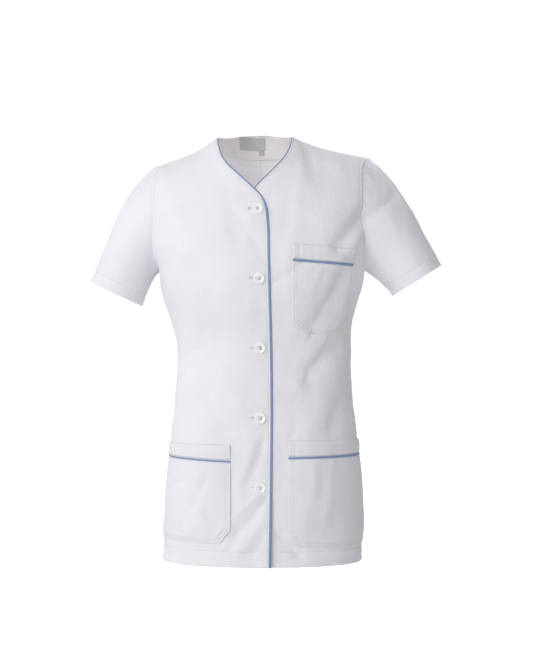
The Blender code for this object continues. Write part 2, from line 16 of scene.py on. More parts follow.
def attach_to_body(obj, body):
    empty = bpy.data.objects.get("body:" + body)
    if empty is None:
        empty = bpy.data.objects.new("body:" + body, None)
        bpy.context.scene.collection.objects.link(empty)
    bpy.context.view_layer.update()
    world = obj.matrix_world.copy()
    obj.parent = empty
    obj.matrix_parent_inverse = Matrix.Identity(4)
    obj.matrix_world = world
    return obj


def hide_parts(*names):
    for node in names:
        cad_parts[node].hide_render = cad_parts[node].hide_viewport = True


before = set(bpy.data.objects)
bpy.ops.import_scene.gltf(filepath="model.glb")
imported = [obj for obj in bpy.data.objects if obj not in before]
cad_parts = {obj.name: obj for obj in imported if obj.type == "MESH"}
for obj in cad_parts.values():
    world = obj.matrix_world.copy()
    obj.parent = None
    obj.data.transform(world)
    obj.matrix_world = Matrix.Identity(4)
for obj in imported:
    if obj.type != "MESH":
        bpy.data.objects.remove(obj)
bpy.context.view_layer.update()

bl_info = {
    "name": "Work tunic",
    "version": (1, 0, 0),
    "blender": (4, 5, 0),
    "location": "View3D > Sidebar > Tunic",
    "description": "Cloth, trim, buttons and stitching of a short-sleeved work tunic",
    "category": "Add Mesh",
}

MM = 0.001
FRONT, BACK = -1, 1
RIGHT, LEFT = -1, 1
FRONTS = {RIGHT: "front_right", LEFT: "front_left"}
BACKS = {RIGHT: "back_right", LEFT: "back_left"}

# Form of the worn tunic, as in the CAD model.
WALL = 1.2 * MM               # from the form's inner side to its outer one
UNDERARM = -208 * MM
HEM = -711 * MM
LEVEL_HEIGHT = 260 * MM
ARMHOLE_CUT = 0.36
ARMHOLE_TIP = 0.05
BACK_NECK_LEVEL = 0.84
BACK_NECK_SHAPE = 1.6
NECK_SHARE = 4 / 9            # share of the back's width that ends on the neckline

# Where the upper front laps over the lower one.
LAP_LIFT = 2.0 * MM
LAP_WIDTH = 42 * MM
LAP_FADE = 60 * MM
LAP_TOP = -15 * MM
LAP_FULL = -66 * MM
CURL = 4.8 * MM               # the loose lower corner of the upper front stands off the other
CURL_TOP = -500 * MM
CURL_WIDTH = 22 * MM
UNDER_RISE = 1.1 * MM         # how far the lower front stands proud under the upper one's edge
UNDER_WIDTH = 9 * MM
UNDER_TOP = -100 * MM
UNDER_FADE = 40 * MM

# Closeness of the mesh: rows and columns are FINE apart over the zones beside edges and seams.
ROW = 3.0 * MM
COLUMN = 3.0 * MM
FINE = 1.0 * MM
YOKE_ROWS = 84
FRONT_WIDTH = 178 * MM        # widths on which the columns are set out
BACK_WIDTH = 170 * MM
POCKET_WIDTH = 112 * MM
KEPT_MARGIN = 14 * MM         # columns keep their places this near to the ends of a row
HEM_ZONE = 30 * MM
EDGE_ZONE = 8 * MM
CENTRE_ZONE = 6 * MM
SEAM_ZONE = 12 * MM
HALVINGS = 28                 # steps of a search for a place on the form

# Sewing.
HEM_STITCH = 26 * MM
CUFF_STITCH = 20 * MM
HEM_MARGIN = 0.5 * MM         # a hem's second layer reaches this far past its stitching
SEAM_STITCH = 7.5 * MM        # topstitching beside armholes and side seams
EDGE_STITCH = 3.5 * MM        # beside the piped edge
FACING_STITCH = 66 * MM       # where the front's own facing is caught into the hem
FACING_ROWS = 28              # rows of the hem on which this stitching is sought
STITCH_PITCH = 3.0 * MM
STITCH_GAP = 0.7 * MM         # between two stitches of a line
GROOVE = 0.55 * MM            # how deep a line of stitching draws the cloth in
GROOVE_WIDTH = 1.1 * MM
PUCKER_WIDTH = 6 * MM
SWELL = 0.3 * MM              # how far cloth stands proud between an edge and its stitching
SWELL_TURN = 1.2 * MM
SEAM_DIP = 1.0 * MM
SEAM_WIDTH = 1.8 * MM
EDGE_DIP = 0.3 * MM           # how far a folded edge turns in
EDGE_WIDTH = 0.8 * MM

# Sleeves.
SLEEVE_LENGTH = 170 * MM
SLEEVE_STEP = 3.0 * MM
SLEEVE_HEAD_ZONE = 6 * MM
CUFF_ZONE = 24 * MM
SLEEVE_INSET = 0.2 * MM       # a sleeve starts this far inside the armhole's outer side
SLEEVE_WAVES = 0.7            # waves of a sleeve against those of the body
HEAD_ROUNDING = 5.0           # columns over which the top of a sleeve is eased round
HEAD_START = 16 * MM          # whole from here below the seam, and gone at the end
HEAD_END = 110 * MM
HEAD_FADE = 70 * MM
HEAD_PUCKERS = 1.6            # puckers of the gathered head against those of a hem
HEAD_PUCKER_STRETCH = 0.8
HEAD_PUCKER_WIDTH = 14 * MM
UNDERARM_DIP = 0.6 * MM       # along the seam under the arm
UNDERARM_WIDTH = 1.5 * MM
SLEEVE_HOLD = 4 * MM          # creases end this far from the armhole

Ring = namedtuple("Ring", "name height right left front back square")
BODY_RINGS = (
    Ring("hem", -711, 174, 171, 126, 130, 2.3),
    Ring("low hip", -647, 171, 173, 124, 132, 2.3),
    Ring("hip", -563, 165, 169, 119, 131, 2.3),
    Ring("high hip", -480, 157.5, 161.5, 114, 122, 2.3),
    Ring("waist", -395, 149.5, 153, 110, 106, 2.3),
    Ring("high waist", -353, 149.5, 153, 109, 99, 2.35),
    Ring("ribs", -322, 153, 153.5, 110, 96, 2.4),
    Ring("low bust", -294, 160, 154.5, 115, 97, 2.5),
    Ring("bust", -262, 170, 164, 121, 100, 2.6),
    Ring("high bust", -236, 176.5, 171.5, 124, 103, 2.7),
    Ring("underarm", -208, 179.5, 177, 125, 106, 2.8),
)

Yoke = namedtuple("Yoke", "name level rise middle right left front back square")
YOKE_RINGS = (
    Yoke("underarm", 0, 0, 0, 179.5, 177, 125, 106, 2.8),
    Yoke("low armhole", 0.167, 0.19, -2, 191, 183, 124, 109, 2.9),
    Yoke("armhole", 0.333, 0.38, -4, 200, 188, 117, 108, 3.0),
    Yoke("chest", 0.5, 0.565, -7, 204, 191, 103, 100, 3.0),
    Yoke("yoke", 0.667, 0.74, -10, 203, 191, 80, 84, 2.9),
    Yoke("crest", 0.833, 0.89, -13, 196, 188, 45, 55, 2.7),
    Yoke("ridge", 1, 1, -15, 188.5, 184, 0, 0, 2.5),
)

RidgePoint = namedtuple("RidgePoint", "name x height")
RIDGE = (
    RidgePoint("right tip", -188.5, -26.4),
    RidgePoint("right outer", -164, -18),
    RidgePoint("right middle", -126, -3.5),
    RidgePoint("right inner", -100, 10),
    RidgePoint("right neck", -79, 24.5),
    RidgePoint("centre", -15, 62),
    RidgePoint("left neck", 50, 26.5),
    RidgePoint("left inner", 72, 17),
    RidgePoint("left middle", 110, 3.5),
    RidgePoint("left outer", 150, -6),
    RidgePoint("left tip", 184, -12),
)

EdgePoint = namedtuple("EdgePoint", "name height x")
UPPER_EDGE = (
    EdgePoint("hem", -711, 15),
    EdgePoint("hip", -597, 16.5),
    EdgePoint("waist", -463, 17.7),
    EdgePoint("ribs", -295, 15.7),
    EdgePoint("chest", -194, 13.5),
    EdgePoint("above chest", -130, 11.5),
    EdgePoint("low bend", -108, 8.7),
    EdgePoint("bend", -94, 4.5),
    EdgePoint("high bend", -83, -2.5),
    EdgePoint("low neckline", -71, -14.5),
    EdgePoint("neckline", -53, -34),
    EdgePoint("high neckline", -32, -56),
    EdgePoint("near neck", -17, -67),
    EdgePoint("at neck", 4, -75),
    EdgePoint("neck", 24.5, -80),
)
LOWER_EDGE = (
    EdgePoint("hem", -711, -20),
    EdgePoint("hip", -500, -20),
    EdgePoint("ribs", -300, -20),
    EdgePoint("chest", -120, -20),
    EdgePoint("corner", -88, -18.5),
    EdgePoint("low neckline", -71, -7.6),
    EdgePoint("neckline", -40, 21.3),
    EdgePoint("high neckline", -20, 38.3),
    EdgePoint("near neck", 0, 48),
    EdgePoint("neck", 26.5, 51.5),
)

# Folds and creases in front or back view, along a line with a bow to one side. west and east are
# the widths on its sides towards the wearer's right and left; depth is outward where positive.
Crease = namedtuple("Crease", "name face x1 z1 x2 z2 bow west east depth")
CREASES = (
    Crease("chest pull beside the edge", FRONT, -52, -118, -24, -175, 0, 15, 15, -2.5),
    Crease("right armhole fold", FRONT, -172, -125, -85, -240, 0, 17, 17, -5.0),
    Crease("left armhole fold", FRONT, 172, -118, 132, -170, 0, 13, 13, -6.5),
    Crease("bust fold", FRONT, 138, -225, 85, -300, 0, 18, 18, -5.0),
    Crease("left waist crease", FRONT, 146, -325, 80, -388, 0, 17, 17, -5.5),
    Crease("left high hip crease", FRONT, 132, -432, 118, -478, 0, 15, 15, -3.0),
    Crease("right waist crease", FRONT, -112, -352, -60, -480, 0, 20, 20, -4.0),
    Crease("right side crease", FRONT, -150, -330, -95, -420, 0, 15, 15, -3.5),
    Crease("right hip ridge", FRONT, -75, -470, -110, -640, 0, 30, 30, 4.0),
    Crease("left hip ridge", FRONT, 95, -470, 75, -640, 0, 30, 30, 3.5),
    Crease("left shoulder trough", FRONT, 78, 0, 92, -58, 0, 11, 11, -2.5),
    Crease("right back waist crease", BACK, -140, -320, -50, -400, 0, 20, 20, -5.0),
    Crease("left back waist crease", BACK, 140, -325, 45, -410, 0, 20, 20, -5.0),
    Crease("right back armhole pull", BACK, -165, -120, -95, -230, 0, 18, 18, -4.5),
    Crease("left back armhole pull", BACK, 165, -115, 90, -225, 0, 18, 18, -4.5),
    Crease("right back hip ridge", BACK, -70, -430, -95, -660, 0, 32, 32, 4.5),
    Crease("left back hip ridge", BACK, 80, -440, 88, -670, 0, 32, 32, 4.5),
)
FINE_CREASES = (
    Crease("first button pull", FRONT, -48, -106, 8, -198, 3, 6, 13, -1.9),
    Crease("right armhole pull", FRONT, -173, -130, -140, -170, 3, 12, 10, -1.0),
    Crease("end of the right armhole fold", FRONT, -124, -188, -85, -240, 0, 18, 18, 2.5),
    Crease("right armhole streak", FRONT, -160, -160, -136, -200, 0, 6, 5, 1.0),
    Crease("right bust underside", FRONT, -136, -308, -72, -349, 0, 20, 20, -1.8),
    Crease("right waist pull", FRONT, -109, -345, -55, -433, 4, 14, 10, -2.6),
    Crease("right shoulder ridge", FRONT, -167, -54, -129, -27, 0, 9, 9, 1.4),
    Crease("upper edge pull", FRONT, 4, -504, -20, -571, 2, 9, 7, -2.6),
    Crease("upper edge ridge", FRONT, -11, -507, -35, -568, 2, 8, 8, 1.8),
    Crease("edge ridge", FRONT, -4, -588, -46, -630, 2, 7, 6, 2.0),
    Crease("lower edge pull", FRONT, 10, -596, -40, -658, 2, 7, 6, -3.4),
    Crease("lower edge ridge", FRONT, 2, -636, -36, -684, 2, 7, 7, 2.0),
    Crease("lower inner pull", FRONT, -36, -636, -50, -680, 2, 7, 7, -1.8),
    Crease("corner pull", FRONT, 8, -655, -18, -693, 2, 7, 6, -1.8),
    Crease("pocket crease", FRONT, -89, -561, -140, -652, 3, 8, 7, -3.0),
    Crease("pocket cross crease", FRONT, -126, -575, -74, -639, 2, 8, 8, -1.9),
    Crease("left shoulder ridge", FRONT, 66, -30, 43, -197, 6, 9, 12, 1.7),
    Crease("left shoulder shade", FRONT, 92, -8, 112, -70, 2, 12, 14, -1.6),
    Crease("left armhole pull", FRONT, 174, -111, 134, -172, 3, 8, 9, -2.0),
    Crease("left armhole ridge", FRONT, 171, -145, 156, -173, 0, 5, 5, 1.2),
    Crease("left armhole short pull", FRONT, 174, -160, 161, -197, 0, 5, 5, -1.7),
    Crease("chest pocket fold", FRONT, 150, -197, 90, -306, 3, 9, 26, -3.4),
    Crease("beside the chest pocket fold", FRONT, 118, -230, 76, -296, 3, 12, 12, 1.8),
    Crease("chest pocket streak", FRONT, 103, -204, 87, -248, 0, 6, 6, 0.9),
    Crease("second button pull", FRONT, 71, -197, 22, -234, 3, 5, 6, -1.4),
    Crease("fold below the pocket", FRONT, 122, -322, 84, -378, 5, 7, 26, -3.2),
    Crease("end of the waist crease", FRONT, 84, -388, 66, -402, 0, 13, 13, 2.6),
    Crease("left side pull", FRONT, 144, -404, 119, -484, 2, 12, 12, -1.6),
    Crease("above the left pocket", FRONT, 60, -470, 48, -507, 0, 5, 5, -1.2),
    Crease("left pocket band", FRONT, 90, -534, 87, -598, 0, 8, 8, 1.4),
    Crease("left pocket second band", FRONT, 119, -534, 108, -632, 0, 8, 9, 1.7),
    Crease("left hem hollow", FRONT, 36, -658, 64, -688, 0, 10, 10, -4.4),
    Crease("fold inside the neck", BACK, -84, -10, -40, -25, 0, 5, 7, 1.6),
    Crease("right blade pull", BACK, -150, -150, -70, -215, 5, 10, 12, -2.0),
    Crease("left blade pull", BACK, 152, -140, 78, -225, 5, 12, 10, -2.0),
    Crease("back waist pull", BACK, -96, -338, -20, -372, 4, 10, 10, -1.8),
    Crease("back waist second pull", BACK, 104, -352, 28, -392, 4, 10, 10, -1.8),
    Crease("back waist third pull", BACK, 122, -300, 60, -322, 3, 9, 9, -1.3),
    Crease("right seat fold", BACK, -38, -470, -52, -640, 4, 12, 14, -1.6),
    Crease("left seat fold", BACK, 34, -480, 40, -655, 4, 14, 12, -1.6),
)
SLEEVE_CREASES = (
    Crease("right sleeve trough", FRONT, -183, -146, -204, -264, 3, 7, 9, -3.0),
    Crease("right sleeve outer trough", FRONT, -241, -160, -227, -244, 0, 10, 10, -1.0),
    Crease("left sleeve trough", FRONT, 176, -122, 230, -77, 3, 9, 9, -3.2),
    Crease("left sleeve ridge", FRONT, 188, -160, 225, -133, 2, 10, 10, 1.2),
    Crease("left sleeve low trough", FRONT, 184, -200, 216, -246, 2, 12, 13, -3.6),
    Crease("right sleeve back trough", BACK, -186, -140, -212, -250, 3, 9, 8, -2.4),
    Crease("left sleeve back trough", BACK, 186, -135, 222, -240, 3, 8, 9, -2.4),
)

CREASE_TURN = 40 * MM         # depth over which creases fade out around the sides

# Slow waves of the cloth, by length, direction, phase and height.
Wave = namedtuple("Wave", "length angle phase height")
WAVES = (
    Wave(96, 24, 0.4, 0.42),
    Wave(71, 118, 2.1, 0.34),
    Wave(53, 63, 4.4, 0.26),
    Wave(41, 161, 1.2, 0.20),
    Wave(33, 8, 5.3, 0.14),
    Wave(26, 97, 3.0, 0.10),
    Wave(19, 140, 0.9, 0.06),
)
WAVE_SLANT = 0.3              # how far the waves run on around the sides
# Puckers along a line of stitching.
PUCKERS = (Wave(13.7, 0, 0.3, 0.26), Wave(8.3, 0, 2.2, 0.20), Wave(5.9, 0, 4.1, 0.12))

Sleeve = namedtuple("Sleeve", "name side x y height half_width half_depth under over lean")
SLEEVES = (
    Sleeve("sleeve_right", RIGHT, -256.4, -6, -247.5, 50, 55, 42, 58, 26),
    Sleeve("sleeve_left", LEFT, 267.5, -6, -226, 51, 55, 44, 58, 32),
)

# The last two columns are the flat sizes of the pocket and of its band, in metres.
Pocket = namedtuple(
    "Pocket",
    "name band piping_node side inner_top inner_low outer_top outer_low"
    " top_in top_out seam_in seam_out low_in low_out chamfer_x chamfer_z corner_pull piping"
    " side_width free_side flat band_flat",
)
POCKETS = (
    Pocket("pocket_chest", "band_chest", "piping_chest", LEFT, 56, 53, 162, 143,
           -166.8, -172.5, -192, -200, -318.5, -318.5, 21, 20, 0.3, 1.85,
           1.2, True, (0.115, 0.125), (0.112, 0.027)),
    Pocket("pocket_left", "band_left", "piping_pocket_left", LEFT, 47.3, 47.5, 300, 300,
           -498.5, -500, -525.5, -524, -676.5, -682, 15, 18, 0.4, 1.6,
           1.5, False, (0.165, 0.155), (0.165, 0.027)),
    Pocket("pocket_right", "band_right", "piping_pocket_right", RIGHT, -49.4, -49, -300, -300,
           -505.4, -506, -531.5, -527, -672.5, -671, 19, 25, 1.0, 1.3,
           1.5, False, (0.165, 0.155), (0.165, 0.027)),
)
POCKET_SLOPE_X = 170          # where the outer heights of a pocket are given
POCKET_LIFT = 0.2 * MM        # between the front and a pocket
BAND_LIFT = 0.1 * MM          # a band lies this much farther out
POCKET_STITCHES = (4.5 * MM, 9 * MM)
POCKET_GROOVES = (0.28 * MM, 0.16 * MM)
POCKET_GROOVE_WIDTH = 0.9 * MM
POCKET_PUCKERS = 0.5          # puckers of a pocket against those of a hem
POCKET_PUCKER_WIDTH = 5 * MM
POCKET_EDGE_DIP = 0.35 * MM
POCKET_EDGE_WIDTH = 1.2 * MM
POCKET_SIDE_DIP = 0.45 * MM
POCKET_BULGE = 1.3 * MM       # a pocket stands off the front above its lower edge
POCKET_TURN = 11 * MM
BAND_EDGE_DIP = 0.5 * MM
BAND_EDGE_WIDTH = 1.1 * MM
BAND_PUCKERS = 1.2
BAND_BULGE = 1.9 * MM         # a band stands off it towards its upper edge
BAND_TURN = 2.6 * MM
FEWEST_POINTS = 4             # a line of topstitching with fewer is left out

Piping = namedtuple("Piping", "name side low thick")
EDGE_PIPINGS = (
    Piping("piping_front_right", RIGHT, -712, 1.8),
    Piping("piping_front_left", LEFT, -84, 1.2),
)
NECKLINE_LOW = -84 * MM       # below here the piping lies flat and shows its full width
NECKLINE_FADE = 26 * MM
PIPING_GAP = 0.1 * MM         # from the edge of the cloth to the piping
PIPING_INSIDE = 0.2 * MM      # from the form's inner side to the piping
PIPING_END = 1.5 * MM         # the piping ends this far below the shoulder seam
POCKET_PIPING = 3.6 * MM      # room for the piping between a pocket and its band
POCKET_PIPING_LIFT = 1.1 * MM
POCKET_PIPING_HALF = 0.9 * MM

# Pieces inside the back neck; the lower edge rises towards the wearer's right from turn on.
Patch = namedtuple(
    "Patch", "name right left low high turn rise depth columns rows slot flat area under"
)
FACING = Patch("facing_back_neck", -118, 90, -7, 100, -36, 0.2, 0.9 * MM, 90, 24,
               "facing", (0.24, 0.085), 0.0112, "back_right")
LABEL = Patch("label", -44.5, 1.5, 10.5, 31, 0, 0, 1.9 * MM, 40, 20,
              "label", (0.046, 0.022), None, "facing_back_neck")
TAB = Patch("size_tab", -10, -1, 1.5, 10.2, 0, 0, 1.9 * MM, 12, 12,
            "label", (0.0105, 0.0105), None, "facing_back_neck")
PATCH_THICKNESS = 0.5 * MM
PATCH_STITCH = 1.2 * MM       # from an edge to its stitching
PATCH_EDGE_DIP = 0.25 * MM
PATCH_EDGE_WIDTH = 0.9 * MM
RIDGE_MARGIN = 1.6 * MM       # from a patch to the top of the shoulder
NECK_MARGIN = 0.004           # from a patch to the neckline, in levels
LEAST_PATCH = 0.01            # least height of a patch, in levels
PATCH_LEVELS = (0.3, 1.0, 300)  # lowest and highest level, and how many are looked at
PATCH_HALVINGS = 25

# Buttons and buttonholes.
BUTTON_THICK = 2.6 * MM
BUTTON_DISH = 0.8 * MM
HOLE_RADIUS = 1.0 * MM
HOLE_SPACING = 4.0 * MM
BUTTON_TURNS = (8, -6, 14, -3, 5)
THREAD_TOP = BUTTON_THICK - BUTTON_DISH
THREAD_RADIUS = 0.22 * MM
THREAD_SIDES = 6
SLIT = 0.35 * MM              # half the width of a buttonhole's slit
RIB = 1.3 * MM                # length of the stitches beside it
RIB_COUNT = 46
BAR_COUNT = 8                 # stitches across its inner end
RIB_RADIUS = 0.24 * MM
RIB_SIDES = 5
HOLE_INNER = 15.5 * MM        # ends of a buttonhole from the middle of its button
HOLE_OUTER = 6 * MM
BAR_ENDS = (-1.2 * MM, 0.5 * MM)

# Rings of a stitch: place along it, size and height, as shares of its length and width.
StitchRing = namedtuple("StitchRing", "at size lift")
STITCH = (
    StitchRing(-0.5, 0.35, -0.22), StitchRing(-0.3, 0.95, 0.12),
    StitchRing(0.3, 0.95, 0.12), StitchRing(0.5, 0.35, -0.22),
)
STITCH_SIDES = 6
STITCH_ROUND = (0.62, 0.45)   # half the breadth and height of a stitch, as shares of its width
# Rings of a buttonhole's stitch, with heights in millimetres.
RIB_SHAPE = (
    StitchRing(0, 0.5, -0.1), StitchRing(0.25, 1, 0.16),
    StitchRing(0.75, 1, 0.16), StitchRing(1, 0.5, -0.1),
)

# Stage.
INSIDE_TINT = (1.0, 0.93, 0.84)
LIGHT_AIM = (0, 0, -0.3)
INSIDE_AIM = (0, 0.04, 0.02)
SEEN_SKY = 1.02               # brightness of the surroundings where the camera sees them
FLOOR_RADIUS = 14.0
CAMERA_TARGET = (0.006, 0, -0.317)
CAMERA_AZIMUTH = 2.3          # degrees from straight in front, to the viewer's right
SENSOR_WIDTH = 36

Grid = namedtuple("Grid", "points out inner outer low high")


# Numbers and curves.

def along(at, places, values):
    """Value at each place between table rows, on a smooth curve through them."""
    at = np.clip(at, places[0], places[-1])
    i = np.clip(np.searchsorted(places, at) - 1, 0, len(places) - 2)
    slopes = np.gradient(values, places)
    step = places[i + 1] - places[i]
    t = (at - places[i]) / step
    start = values[i] * (2 * t**3 - 3 * t**2 + 1) + slopes[i] * step * (t**3 - 2 * t**2 + t)
    end = values[i + 1] * (3 * t**2 - 2 * t**3) + slopes[i + 1] * step * (t**3 - t**2)
    return start + end


def column(rows, name):
    return np.array([getattr(row, name) for row in rows], dtype=float)


def read(rows, key, at, name):
    """One named column of a table at places in its key column."""
    return along(at, column(rows, key), column(rows, name))


def ease(value):
    value = np.clip(value, 0, 1)
    return value * value * (3 - 2 * value)


def unit(vectors):
    return vectors / np.maximum(np.linalg.norm(vectors, axis=-1, keepdims=True), 1e-12)


def bump_at(distance, width):
    """1 on a line and 0 away from it."""
    return np.exp(-(distance / width) ** 2)


def wavy(waves, x, z=0.0):
    """Sum of slow waves at points of a plane."""
    total = 0.0
    for wave in waves:
        angle = math.radians(wave.angle)
        place = (x * math.cos(angle) + z * math.sin(angle)) / (wave.length * MM)
        total = total + wave.height * MM * np.sin(2 * math.pi * place + wave.phase)
    return total


def spread(length, step, near_start, near_end):
    """Places from 0 to length, closer over the first and last stretches."""
    start = np.arange(0, near_start, FINE)
    end = length - np.arange(0, near_end, FINE)[::-1]
    middle_count = max(2, int(round((length - near_start - near_end) / step)))
    middle = np.linspace(near_start, length - near_end, middle_count + 1)
    middle = middle[: -1] if near_end > 0 else middle
    return np.concatenate([start, middle, end]) if near_end > 0 else np.concatenate([start, middle])


# Form of the body.

def body_sections():
    names = ("middle", "right", "left", "front", "back", "square")
    levels = [(ring.height * MM - UNDERARM) / LEVEL_HEIGHT for ring in BODY_RINGS[:-1]]
    levels += [ring.level for ring in YOKE_RINGS]
    rows = [[getattr(ring, name, 0.0) for name in names] for ring in BODY_RINGS[:-1] + YOKE_RINGS]
    return np.array(levels, dtype=float), np.array(rows, dtype=float).T


SECTION_LEVELS, SECTION_SIZES = body_sections()


def ring_spot(face, across, level):
    """x and y on a section, in millimetres."""
    middle, right, left, front, back, square = [
        along(level, SECTION_LEVELS, sizes) for sizes in SECTION_SIZES
    ]
    s = np.sin(np.abs(across) * math.pi / 2)
    c = np.maximum(0.0, np.cos(across * math.pi / 2))
    reach = (s**square + c**square) ** (-1 / square)
    side = np.where(across >= 0, left, -right)
    depth = back if face == BACK else -front
    return middle * c**2 + side * reach * s, depth * reach * c


def smooth_spot(face, across, level):
    """Points on the inside of the form before folds."""
    across, level = np.broadcast_arrays(np.asarray(across, float), np.asarray(level, float))
    x, y = ring_spot(face, across, level)
    ridge_x, _ = ring_spot(face, across, np.ones_like(level))
    height = read(RIDGE, "x", ridge_x, "height") * MM - UNDERARM
    above = np.maximum(level, 0)
    rise = read(YOKE_RINGS, "level", above, "rise")
    start_slope = YOKE_RINGS[1].rise / YOKE_RINGS[1].level * height
    ease_in = (LEVEL_HEIGHT - start_slope) * above * (1 - above) ** 3
    z = UNDERARM + np.where(level <= 0, level * LEVEL_HEIGHT, rise * height + ease_in)
    return np.stack([x * MM, y * MM, z], axis=-1)


def outward(face, across, level):
    """Unit directions out of the cloth."""
    step = 0.004
    across, level = np.broadcast_arrays(np.asarray(across, float), np.asarray(level, float))
    wide = smooth_spot(face, np.minimum(across + step, 1), level)
    wide = wide - smooth_spot(face, np.maximum(across - step, -1), level)
    high = np.minimum(level + step, 1)
    tall = smooth_spot(face, across, high) - smooth_spot(face, across, high - 2 * step)
    return unit(np.cross(wide, tall)) * -face


def crease_depth(spots, face, creases):
    """Sum of folds and creases at points of the cloth."""
    total = np.zeros(spots.shape[:-1])
    plane = spots[..., [0, 2]]
    facing = {side: ease(0.5 + spots[..., 1] * side / CREASE_TURN) for side in (FRONT, BACK)}
    for crease in creases:
        if face and crease.face != face:
            continue
        start = np.array([crease.x1, crease.z1]) * MM
        run = np.array([crease.x2, crease.z2]) * MM - start
        share = (plane - start) @ run / np.dot(run, run)
        east = np.array([-run[1], run[0]]) / np.linalg.norm(run)
        east = east * (1 if east[0] > 0 else -1)
        held = np.clip(share, 0, 1)
        bow = crease.bow * MM * 4 * held * (1 - held)
        nearest = start + held[..., None] * run + bow[..., None] * east
        gap = plane - nearest
        width = np.where(gap @ east > 0, crease.east, crease.west) * MM
        away = np.linalg.norm(gap, axis=-1) / width
        total += crease.depth * MM * np.exp(-away * away) * facing[crease.face]
    return total


def cloth_spot(face, across, level, lift=0.0):
    """Points on the outside of the form with its folds, and the directions out of it."""
    spots = smooth_spot(face, across, level)
    out = outward(face, across, level)
    depth = crease_depth(spots, face, CREASES + FINE_CREASES)
    depth = depth + wavy(WAVES, spots[..., 0] + WAVE_SLANT * spots[..., 1], spots[..., 2])
    return spots + out * (WALL + depth + lift)[..., None], out


def armhole_across(level):
    arch = np.sqrt(np.maximum(0.0, 4 * level * (1 - level)))
    return 1 - ARMHOLE_CUT * arch - ARMHOLE_TIP * level**2


def halved(low, high, is_below, halvings=HALVINGS):
    """Places between low and high where is_below turns from true to false."""
    for _ in range(halvings):
        middle = (low + high) / 2
        below = is_below(middle)
        low, high = np.where(below, middle, low), np.where(below, high, middle)
    return (low + high) / 2


def across_at(x, level, face=FRONT, halvings=HALVINGS):
    """Where a side of the form crosses x."""
    level, x = np.broadcast_arrays(np.asarray(level, float), np.asarray(x, float))
    return halved(
        np.full(level.shape, -1.0), np.full(level.shape, 1.0),
        lambda across: smooth_spot(face, across, level)[..., 0] < x, halvings,
    )


def edge_across(level, edge):
    """Where a front edge crosses a level."""
    level = np.asarray(level, float)

    def is_below(across):
        spot = smooth_spot(FRONT, across, level)
        return spot[..., 0] < read(edge, "height", spot[..., 2] / MM, "x") * MM

    return halved(np.full(level.shape, -0.9), np.full(level.shape, 0.9), is_below)


def neck_across(edge):
    """How far from the middle a front's neckline meets the shoulder."""
    return abs(float(edge_across(np.array([1.0]), edge)[0]))


def lap_lift(spots, edge_spots):
    """How far the upper front stands off the lower one."""
    away = np.linalg.norm(spots - edge_spots, axis=-1)
    beside = ease(1 - (away - LAP_WIDTH) / LAP_FADE)
    lift = LAP_LIFT * beside * ease((LAP_TOP - edge_spots[..., 2]) / (LAP_TOP - LAP_FULL))
    low = ease((CURL_TOP - edge_spots[..., 2]) / (CURL_TOP - HEM))
    return lift + CURL * low * bump_at(away, CURL_WIDTH)


def under_lift(spots):
    """How far the lower front stands proud beside the upper one's edge."""
    edge = read(UPPER_EDGE, "height", spots[..., 2] / MM, "x") * MM
    low = ease((UNDER_TOP - spots[..., 2]) / UNDER_FADE)
    return UNDER_RISE * low * bump_at(spots[..., 0] - edge, UNDER_WIDTH)


def row_levels():
    """Levels of the rows, closer at the hem and at both ends of the armhole."""
    heights = HEM + spread(UNDERARM - HEM, ROW, HEM_ZONE, 0)[:-1]
    lower = (heights - UNDERARM) / LEVEL_HEIGHT
    upper = (1 - np.cos(math.pi * np.arange(YOKE_ROWS + 1) / YOKE_ROWS)) / 2
    return np.concatenate([lower, upper])


def lengths_along(points, axis):
    """Distance run along a grid from its first row or column."""
    steps = np.linalg.norm(np.diff(points, axis=axis), axis=-1)
    start = np.zeros_like(steps.take([0], axis=axis))
    return np.concatenate([start, np.cumsum(steps, axis=axis)], axis=axis)


def measured(points, out):
    """A grid with the distances of its points from its four edges."""
    inner = lengths_along(points, 1)
    low = lengths_along(points, 0)
    outer = inner[:, -1:] - inner
    high = low[-1:, :] - low
    return Grid(points, out, inner, outer, low, high)


def raised(grid, depth):
    """The same grid with each point moved outward by a depth."""
    return grid._replace(points=grid.points + grid.out * depth[..., None])


def rows_of(grid, rows):
    """Some of the rows of a grid."""
    return Grid(*(part[rows] for part in grid))


def even_across(face, levels, inner, outer, places):
    """Values of across at the given places along each row; the middle stretches to its width."""
    dense = np.linspace(0, 1, 121)
    across = inner[:, None] + (outer - inner)[:, None] * dense
    run = lengths_along(smooth_spot(face, across, levels[:, None]), 1)
    nominal = places[-1]
    marks = [0, KEPT_MARGIN, nominal - KEPT_MARGIN, nominal]
    result = []
    for row in range(len(levels)):
        width = run[row, -1]
        keep = min(KEPT_MARGIN, width / 3)
        at = np.interp(places, marks, [0, keep, width - keep, width])
        result.append(np.interp(at, run[row], across[row]))
    return np.array(result)


def relief(grid, stitches, seams, free_edges):
    """Add stitch grooves, puckers and turned edges to a grid."""
    depth = np.zeros(grid.inner.shape)
    for name, distance in stitches:
        from_edge = getattr(grid, name)
        away = from_edge - distance
        run = grid.low if name in ("inner", "outer") else grid.inner
        depth -= GROOVE * bump_at(away, GROOVE_WIDTH)
        depth += wavy(PUCKERS, run) * bump_at(away, PUCKER_WIDTH)
        depth += SWELL * ease((distance - from_edge) / SWELL_TURN)
    for name in seams:
        depth -= (SEAM_DIP + SWELL) * bump_at(getattr(grid, name), SEAM_WIDTH)
    for name in free_edges:
        depth -= (EDGE_DIP + SWELL) * bump_at(getattr(grid, name), EDGE_WIDTH)
    return raised(grid, depth)


